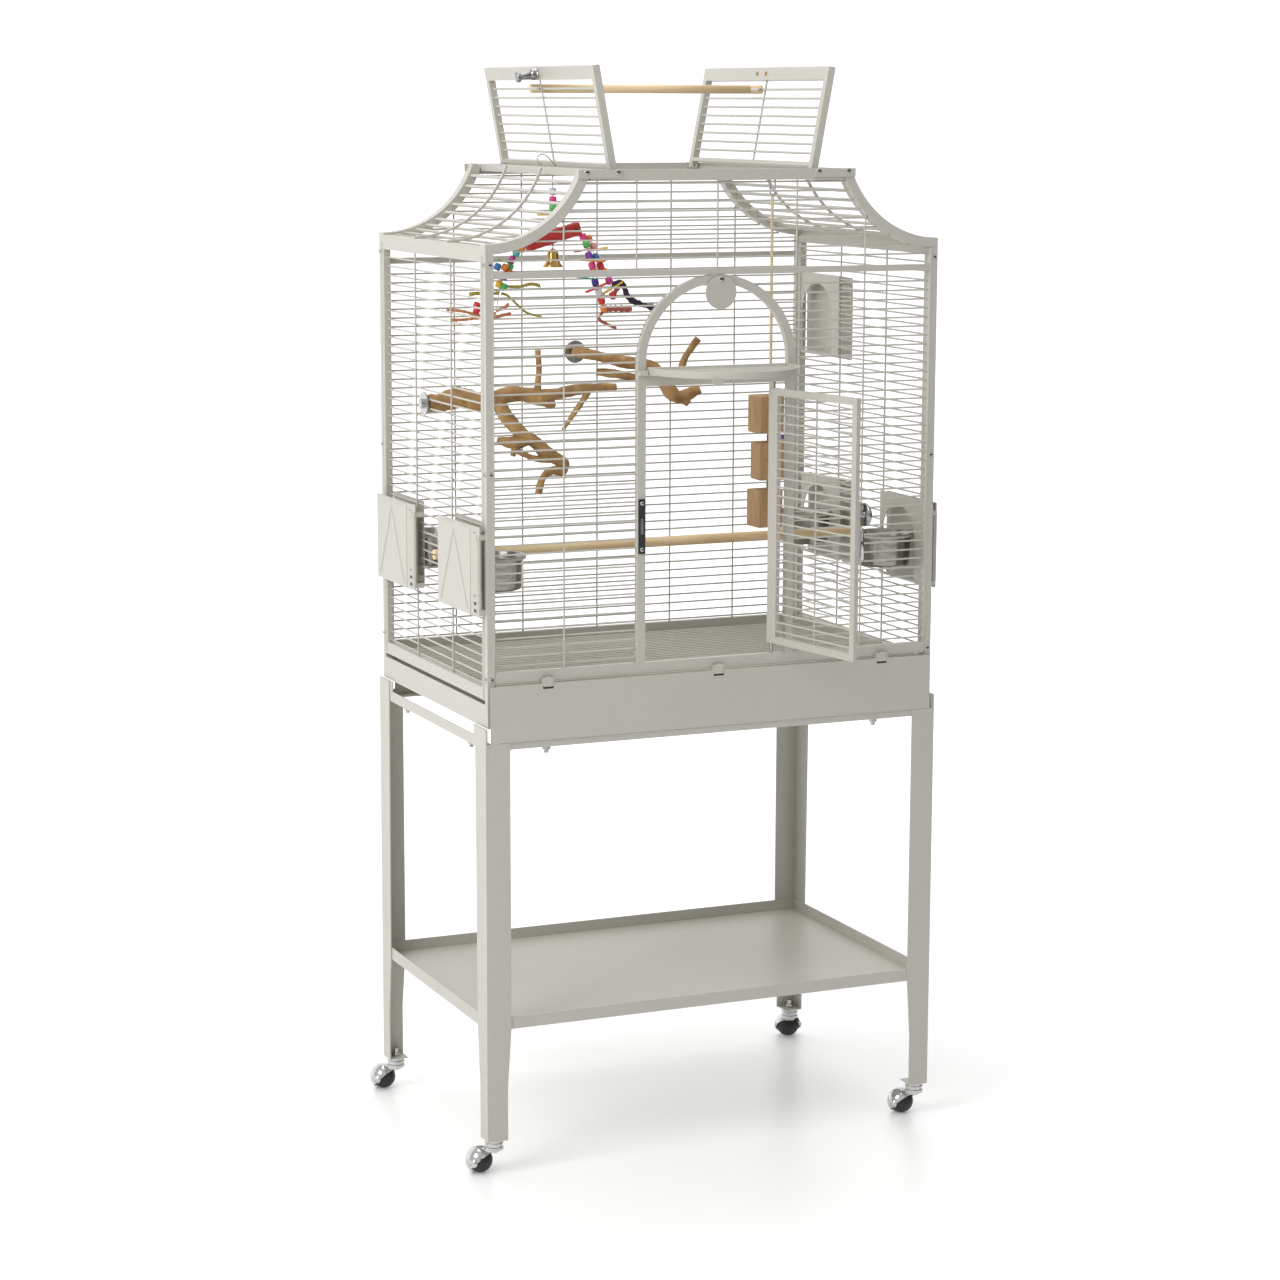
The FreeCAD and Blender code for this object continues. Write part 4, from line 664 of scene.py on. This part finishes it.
screws = Piece("screw_heads")
for sx in (-1, 1):
    for sy in (-1, 1):
        for z in WALL_SCREW_Z:
            screw(screws, (sx * WALL_SCREW_X, sy * WALL_FACE, z), (0, sy, 0), 4, zinc)
            screw(screws, (sx * SIDE_FACE, sy * SIDE_SCREW_Y, z), (sx, 0, 0), 4, zinc)
        for x in ROOF_SCREW_X:
            screw(screws, (sx * x, sy * ROOF_FACE, FLAP_PIVOT_Z), (0, sy, 0), 4.6, zinc)
LATCH_DISC_SCREW = (3.6, -261.2, 1471)
screw(screws, LATCH_DISC_SCREW, TOWARDS_FRONT, 5, zinc)
screws.done("cage", "zinc", "screws")

STRIKE_WIDE, STRIKE_THICK, STRIKE_Y = 12, 2, -258.55
STRIKE_SLOT, STRIKE_SLOT_Y = (5, 0.5, 26), -259.6
STRIKE_SCREW_INSET, STRIKE_SCREW_Y = 7, -259.55
strike_low, strike_high = (Vector(v) * PER_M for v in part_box("strike_plate"))
strike_at = center_of("strike_plate")
strike = Piece("strike_plate_black")
strike_size = (STRIKE_WIDE, STRIKE_THICK, strike_high.z - strike_low.z)
strike.box((strike_at.x, STRIKE_Y, strike_at.z), strike_size, black_metal, None, 0.7)
strike.box((strike_at.x, STRIKE_SLOT_Y, strike_at.z), STRIKE_SLOT, latch_steel, None, 0.1)
for z in (strike_low.z + STRIKE_SCREW_INSET, strike_high.z - STRIKE_SCREW_INSET):
    screw(strike, (strike_at.x, STRIKE_SCREW_Y, z), TOWARDS_FRONT, 3.6, zinc)
strike.done("cage", "black_metal", "strike_plate")

# Door latch, in the open door's own directions

DOOR_PIVOT = (105, -251.5)
DOOR_OPEN = 101                     # degrees
KNOB_REACH, KNOB_Z, DOOR_FACE = 220, 1101.5, 7.1
KNOB = [(0, 0), (5.5, 0), (5.5, 6), (8, 7.5), (17.5, 8), (19, 9.2), (19, 12.6), (17.6, 13.8), (9, 14),
        (8, 13.2), (6, 13.2), (5, 14.6), (0, 15)]
KNOB_RIBS = 12
door_turn = math.radians(DOOR_OPEN)
door_normal = Vector((math.sin(door_turn), -math.cos(door_turn), 0))
door_back = Vector((math.cos(door_turn), math.sin(door_turn), 0))
knob_at = Vector((*DOOR_PIVOT, KNOB_Z)) + door_back * -KNOB_REACH + door_normal * DOOR_FACE
latch_frame = Matrix.Translation(knob_at) @ Matrix((
    (door_back.x, 0, door_normal.x, 0), (door_back.y, 0, door_normal.y, 0), (0, 1, 0, 0), (0, 0, 0, 1)))
knob = Piece("door_latch_knob")
knob.lathe(KNOB, latch_steel, latch_frame, 56)
for k in range(KNOB_RIBS):
    rib = latch_frame @ Matrix.Rotation(2 * math.pi * k / KNOB_RIBS, 4, "Z")
    knob.box((13.2, 0, 14), (7, 1.6, 0.9), latch_steel, rib, 0.3)
knob.done("door_latch", "chrome", "door_latch")
catch = Piece("door_latch_body")
catch.box((0, -48, 4.2), (9.5, 44, 8.2), latch_steel, latch_frame, 1.4)
catch.rod(latch_frame @ Vector((0, -74, 5)), latch_frame @ Vector((0, -22, 5)), 5.2, chrome, 24)
for z in (-34, -60):
    screw(catch, latch_frame @ Vector((0, z, 8.3)), door_normal, 3.2, zinc)
screw(catch, latch_frame @ Vector((0, 17, 0)), door_normal, 2.8, zinc)
catch.done("door", "chrome")

# Roof latch on the left flap, and the screws of its catch on the right one

FLAP_OPEN = -100.5                  # degrees
FLAP_REACH = 160                    # from a flap's pivot to its latch
LATCH_FACE, CATCH_FACE = 6.05, 6.0
PULL = [(0, 0), (9, 0), (9.6, 1), (9.6, 10), (8.6, 11.5), (7.8, 12), (7.2, 14), (5.4, 28), (5.2, 30),
        (8.4, 31.5), (9, 33), (9, 36), (7.8, 38), (4, 39.6), (0, 40)]
PULL_NUT = [(11, 0.1), (11, 3), (10, 4)]
flap_turn = math.radians(FLAP_OPEN)
flap_normal = Vector((math.sin(flap_turn), 0, math.cos(flap_turn)))
flap_along = Vector((math.cos(flap_turn), 0, -math.sin(flap_turn)))
latch_at = Vector((-FLAP_PIVOT_X, 0, FLAP_PIVOT_Z)) + flap_along * FLAP_REACH + flap_normal * LATCH_FACE
pull = Piece("roof_latch_knob")
pull.lathe(PULL, latch_steel, along(latch_at, flap_normal), 40)
pull.lathe(PULL_NUT, chrome, along(latch_at, flap_normal), 6, False)
pull.done("roof_latch", "chrome", "roof_latch")
catch_screws = Piece("roof_catch_screws")
right_normal = Vector((-flap_normal.x, 0, flap_normal.z))
right_along = Vector((-flap_along.x, 0, flap_along.z))
for y in (24, -10):
    at = Vector((FLAP_PIVOT_X, y, FLAP_PIVOT_Z)) + right_along * FLAP_REACH - right_normal * CATCH_FACE
    screw(catch_screws, at, -right_normal, 4.2, brass)
catch_screws.done("roof_flap_right", "zinc")

# Finger tabs on the drawer's apron, with the slots below them drawn as black strips: painted shade
# under the tabs. The round head lies a little behind the tab's face.

TAB_X = (-302, 3, 308)
TAB_SIZE, TAB_HEAD_R, TAB_HEAD_THICK = (16, 1.6, 9), 8, 1.4
TAB_HEAD = [(0, 0), (TAB_HEAD_R, 0), (TAB_HEAD_R, TAB_HEAD_THICK), (0, TAB_HEAD_THICK)]
TAB_SLOT = (18, 0.5, 3.8)
finger_tabs = Piece("finger_tabs")
for x in TAB_X:
    finger_tabs.box((x, -264.1, 823.5), TAB_SIZE, powder, None, 0.5)
    finger_tabs.lathe(TAB_HEAD, powder, along((x, -263.3, 828), TOWARDS_FRONT), 32, False)
    finger_tabs.box((x, -263.7, 817.6), TAB_SLOT, black_metal, None, 0.2)
finger_tabs.done("drawer", "powder_coat")

# Joint lines where the side walls meet the front and back walls, with rounded edges beside them

SEAM_SIZE, SEAM_Y, SEAM_Z = (0.3, 0.9, 714), 245.4, 1158
EDGE_R, EDGE_TOP = 1.1, 1514
SIDE_EDGE_X, SIDE_EDGE_Y, SIDE_EDGE_FOOT = 404.6, 238.6, 803
WALL_EDGE_X, WALL_EDGE_Y, WALL_EDGE_FOOT = 392.2, 257.1, 760
for side, name in ((-1, "left"), (1, "right")):
    seams = Piece("corner_seams_" + name)
    for end in (-1, 1):
        seams.box((side * SIDE_FACE, end * SEAM_Y, SEAM_Z), SEAM_SIZE, joint_line, None, 0.05)
        for x, y, foot in ((SIDE_EDGE_X, SIDE_EDGE_Y, SIDE_EDGE_FOOT),
                           (WALL_EDGE_X, WALL_EDGE_Y, WALL_EDGE_FOOT)):
            seams.rod((side * x, end * y, foot), (side * x, end * y, EDGE_TOP), EDGE_R, powder, 10)
    seams.done("cage", "powder_coat")

# Casters: ears of the hoods with the ends of the axles, and rings round the stems' collars

CASTER_TURN = {"front_left": 132, "front_right": 117, "back_left": 130, "back_right": 70}   # degrees
EAR_OUT = 23.2                      # from the ball's middle, along the axle
EAR = [(0, 0), (6.6, 0), (7.2, 0.5), (6.8, 1.1), (3.4, 1.5), (3.0, 2.2), (2.2, 2.6), (0, 2.7)]
COLLAR_R, COLLAR_LIFT = 14.5, 4.6
COLLAR = [(14.4, 0), (15.6, 0.4), (16, 1.4), (15.6, 2.6), (14.4, 3.2)]
for name, heading in CASTER_TURN.items():
    ears = Piece("caster_ears_" + name)
    axle = Vector((-math.sin(math.radians(heading)), math.cos(math.radians(heading)), 0))
    middle = center_of("caster_wheel_" + name)
    for way in (-1, 1):
        ears.lathe(EAR, chrome, along(middle + axle * way * EAR_OUT, axle * way), 32)
    ears.done("hood_" + name, "chrome")
collars = Piece("caster_collars")
stem_low, stem_high = (Vector(v) * PER_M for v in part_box("caster_stems"))
for x in (stem_low.x + COLLAR_R, stem_high.x - COLLAR_R):
    for y in (stem_low.y + COLLAR_R, stem_high.y - COLLAR_R):
        collars.lathe(COLLAR, chrome, Matrix.Translation((x, y, stem_low.z + COLLAR_LIFT)), 40)
collars.done("cage", "chrome")

# Feeder plates: screws and slots on the hinge strip, the crease beside it and two waves at the top

FEEDERS = (("left_front", -1, -252, 937.5), ("left_back", -1, 56, 937.5),
           ("right_front", 1, -252, 937.5), ("right_back", 1, 56, 937.5),
           ("right_upper", 1, 70, 1301.1))      # name, side, front edge and bottom
PLATE_FACE, STRIP_FACE = 419.55, 417.5
STRIP_SLOPE = -0.125
STRIP_MIDDLE, CREASE = 16, 32       # from the plate's front edge
STRIP_SCREWS, STRIP_SLOTS = (136, 34), (9, 21)      # above the plate's bottom
CREASE_FOOT, CREASE_TOP, CREASE_R = 1, 144.5, 0.7
WAVES = ((42, 50), (102, 58))       # start from the front edge, and length
WAVE_EDGE, WAVE_LOW, WAVE_IN, WAVE_BEND, WAVE_R = 145.2, 142.6, 1.5, 8, 1.4
for name, side, front, bottom in FEEDERS:
    trim = Piece("feeder_trim_" + name)
    face = side * PLATE_FACE
    strip = side * STRIP_FACE
    slope = Vector((side, STRIP_SLOPE, 0))
    for z in STRIP_SCREWS:
        screw(trim, (strip, front + STRIP_MIDDLE, bottom + z), slope, 2.6, zinc)
    for z in STRIP_SLOTS:
        # The slots are thin black sheets on the strip: painted shade in them.
        place = along((strip, front + STRIP_MIDDLE, bottom + z), slope) @ turned(90, "Y")
        trim.box((0, 0, 0), (0.5, 5, 8), black_metal, place, 0.1)
    trim.rod((face, front + CREASE, bottom + CREASE_FOOT), (face, front + CREASE, bottom + CREASE_TOP),
             CREASE_R, powder, 10)
    for start, length in WAVES:
        inner = face - side * WAVE_IN
        wave = [(inner, front + start, bottom + WAVE_EDGE),
                (face, front + start + WAVE_BEND, bottom + WAVE_LOW),
                (face, front + start + length - WAVE_BEND, bottom + WAVE_LOW),
                (inner, front + start + length, bottom + WAVE_EDGE)]
        trim.tube(smooth_path(wave, 6), WAVE_R, powder, 10)
    trim.done("feeder_" + name, "powder_coat")


# Floor and backdrop, in metres

SWEEP_HALF, SWEEP_FRONT, SWEEP_BACK = 14.0, -12.0, 4.0
SWEEP_BEND, SWEEP_STEPS, SWEEP_TOP = 2.5, 16, 8.0
GLOW = {"From Min": 0.2, "From Max": 4.0, "To Min": 0.16, "To Max": 0.5}    # brighter towards the back


def sweep():
    """Floor that curves up into a white backdrop behind the object, glowing more towards the back:
    painted light.
    """
    mat = surface("studio_sweep", (0.90, 0.90, 0.90), (0.88, 0.88, 0.88), rough=0.32,
                  scale=30.0, bump=0.0, rough_change=0.04)
    tree = mat.node_tree
    coord = tree.nodes.new("ShaderNodeTexCoord")
    parts = tree.nodes.new("ShaderNodeSeparateXYZ")
    glow = tree.nodes.new("ShaderNodeMapRange")
    glow.interpolation_type = "SMOOTHSTEP"
    for name, value in GLOW.items():
        glow.inputs[name].default_value = value
    tree.links.new(coord.outputs["Object"], parts.inputs["Vector"])
    tree.links.new(parts.outputs["Y"], glow.inputs["Value"])
    shader = tree.nodes["Principled BSDF"]
    shader.inputs["Emission Color"].default_value = (1, 1, 1, 1)
    tree.links.new(glow.outputs["Result"], shader.inputs["Emission Strength"])
    line = [(SWEEP_FRONT, 0.0), (SWEEP_BACK, 0.0)]
    for k in range(1, SWEEP_STEPS + 1):
        a = math.pi / 2 * k / SWEEP_STEPS
        line.append((SWEEP_BACK + SWEEP_BEND * math.sin(a), SWEEP_BEND - SWEEP_BEND * math.cos(a)))
    line.append((SWEEP_BACK + SWEEP_BEND, SWEEP_TOP))
    verts = [(x, y, z) for y, z in line for x in (-SWEEP_HALF, SWEEP_HALF)]
    faces = [(2 * i, 2 * i + 1, 2 * i + 3, 2 * i + 2) for i in range(len(line) - 1)]
    mesh = bpy.data.meshes.new("sweep")
    mesh.from_pydata(verts, [], faces)
    mesh.materials.append(mat)
    for polygon in mesh.polygons:
        polygon.use_smooth = True
    obj = bpy.data.objects.new("sweep", mesh)
    bpy.context.scene.collection.objects.link(obj)


def stage_plane(name, center, size, turn, mat):
    bpy.ops.mesh.primitive_plane_add(size=1, location=center, rotation=turn)
    plane = bpy.context.object
    plane.name = name
    plane.scale = (size[0], size[1], 1)
    plane.data.materials.append(mat)


# Dark cards outside the picture keep the shaded sides and the chrome from washing out.

sweep()
card_mat = surface("studio_card", (0.03, 0.03, 0.03), (0.025, 0.025, 0.025), rough=0.9,
                   scale=5.0, bump=0.0)
upright = math.pi / 2
stage_plane("card_front", (2.5, -8.5, 1.8), (11, 3.6), (upright, 0, 0), card_mat)
stage_plane("card_right", (4.0, -0.8, 1.8), (6, 3.6), (upright, 0, upright), card_mat)

# Camera, fitted to the photograph's straight bars

SENSOR = 36                         # millimetres
FOCAL = 2.4554                      # in widths of the picture
CAMERA_AT = (-2.1704, -4.9180, 1.7564)
CAMERA_TURN = (23.568, 9.737, 0.169)    # yaw, pitch down and roll in degrees
camera_data = bpy.data.cameras.new("camera")
camera_data.sensor_width = SENSOR
camera_data.lens = FOCAL * SENSOR
camera_data.clip_end = 60
camera = bpy.data.objects.new("camera", camera_data)
yaw, pitch, roll = (math.radians(a) for a in CAMERA_TURN)
forward = Vector((math.sin(yaw) * math.cos(pitch), math.cos(yaw) * math.cos(pitch), -math.sin(pitch)))
right = Vector((math.cos(yaw), -math.sin(yaw), 0))
up = right.cross(forward)
right, up = right * math.cos(roll) + up * math.sin(roll), up * math.cos(roll) - right * math.sin(roll)
camera.matrix_world = Matrix((
    (right.x, up.x, -forward.x, CAMERA_AT[0]), (right.y, up.y, -forward.y, CAMERA_AT[1]),
    (right.z, up.z, -forward.z, CAMERA_AT[2]), (0, 0, 0, 1)))
bpy.context.scene.collection.objects.link(camera)
bpy.context.scene.camera = camera


# Light

def area_light(name, at, target, size, power):
    data = bpy.data.lights.new(name, "AREA")
    data.shape = "RECTANGLE"
    data.size, data.size_y = size
    data.energy = power
    light = bpy.data.objects.new(name, data)
    light.location = at
    light.rotation_euler = (Vector(target) - Vector(at)).to_track_quat("-Z", "Y").to_euler()
    bpy.context.scene.collection.objects.link(light)


WORLD_STRENGTH = 0.75
area_light("key", (-3.6, -1.6, 3.4), (0, 0, 0.9), (2.2, 2.2), 80)
area_light("fill", (2.4, -4.6, 2.4), (0, 0, 0.9), (1.6, 1.6), 7)
area_light("top", (0.3, 0.4, 4.4), (0, 0, 1.0), (3.0, 3.0), 45)
world = bpy.data.worlds.new("studio")
world.use_nodes = True
world.node_tree.nodes["Background"].inputs["Color"].default_value = (1, 1, 1, 1)
world.node_tree.nodes["Background"].inputs["Strength"].default_value = WORLD_STRENGTH
bpy.context.scene.world = world
bpy.context.scene.view_settings.view_transform = "Standard"
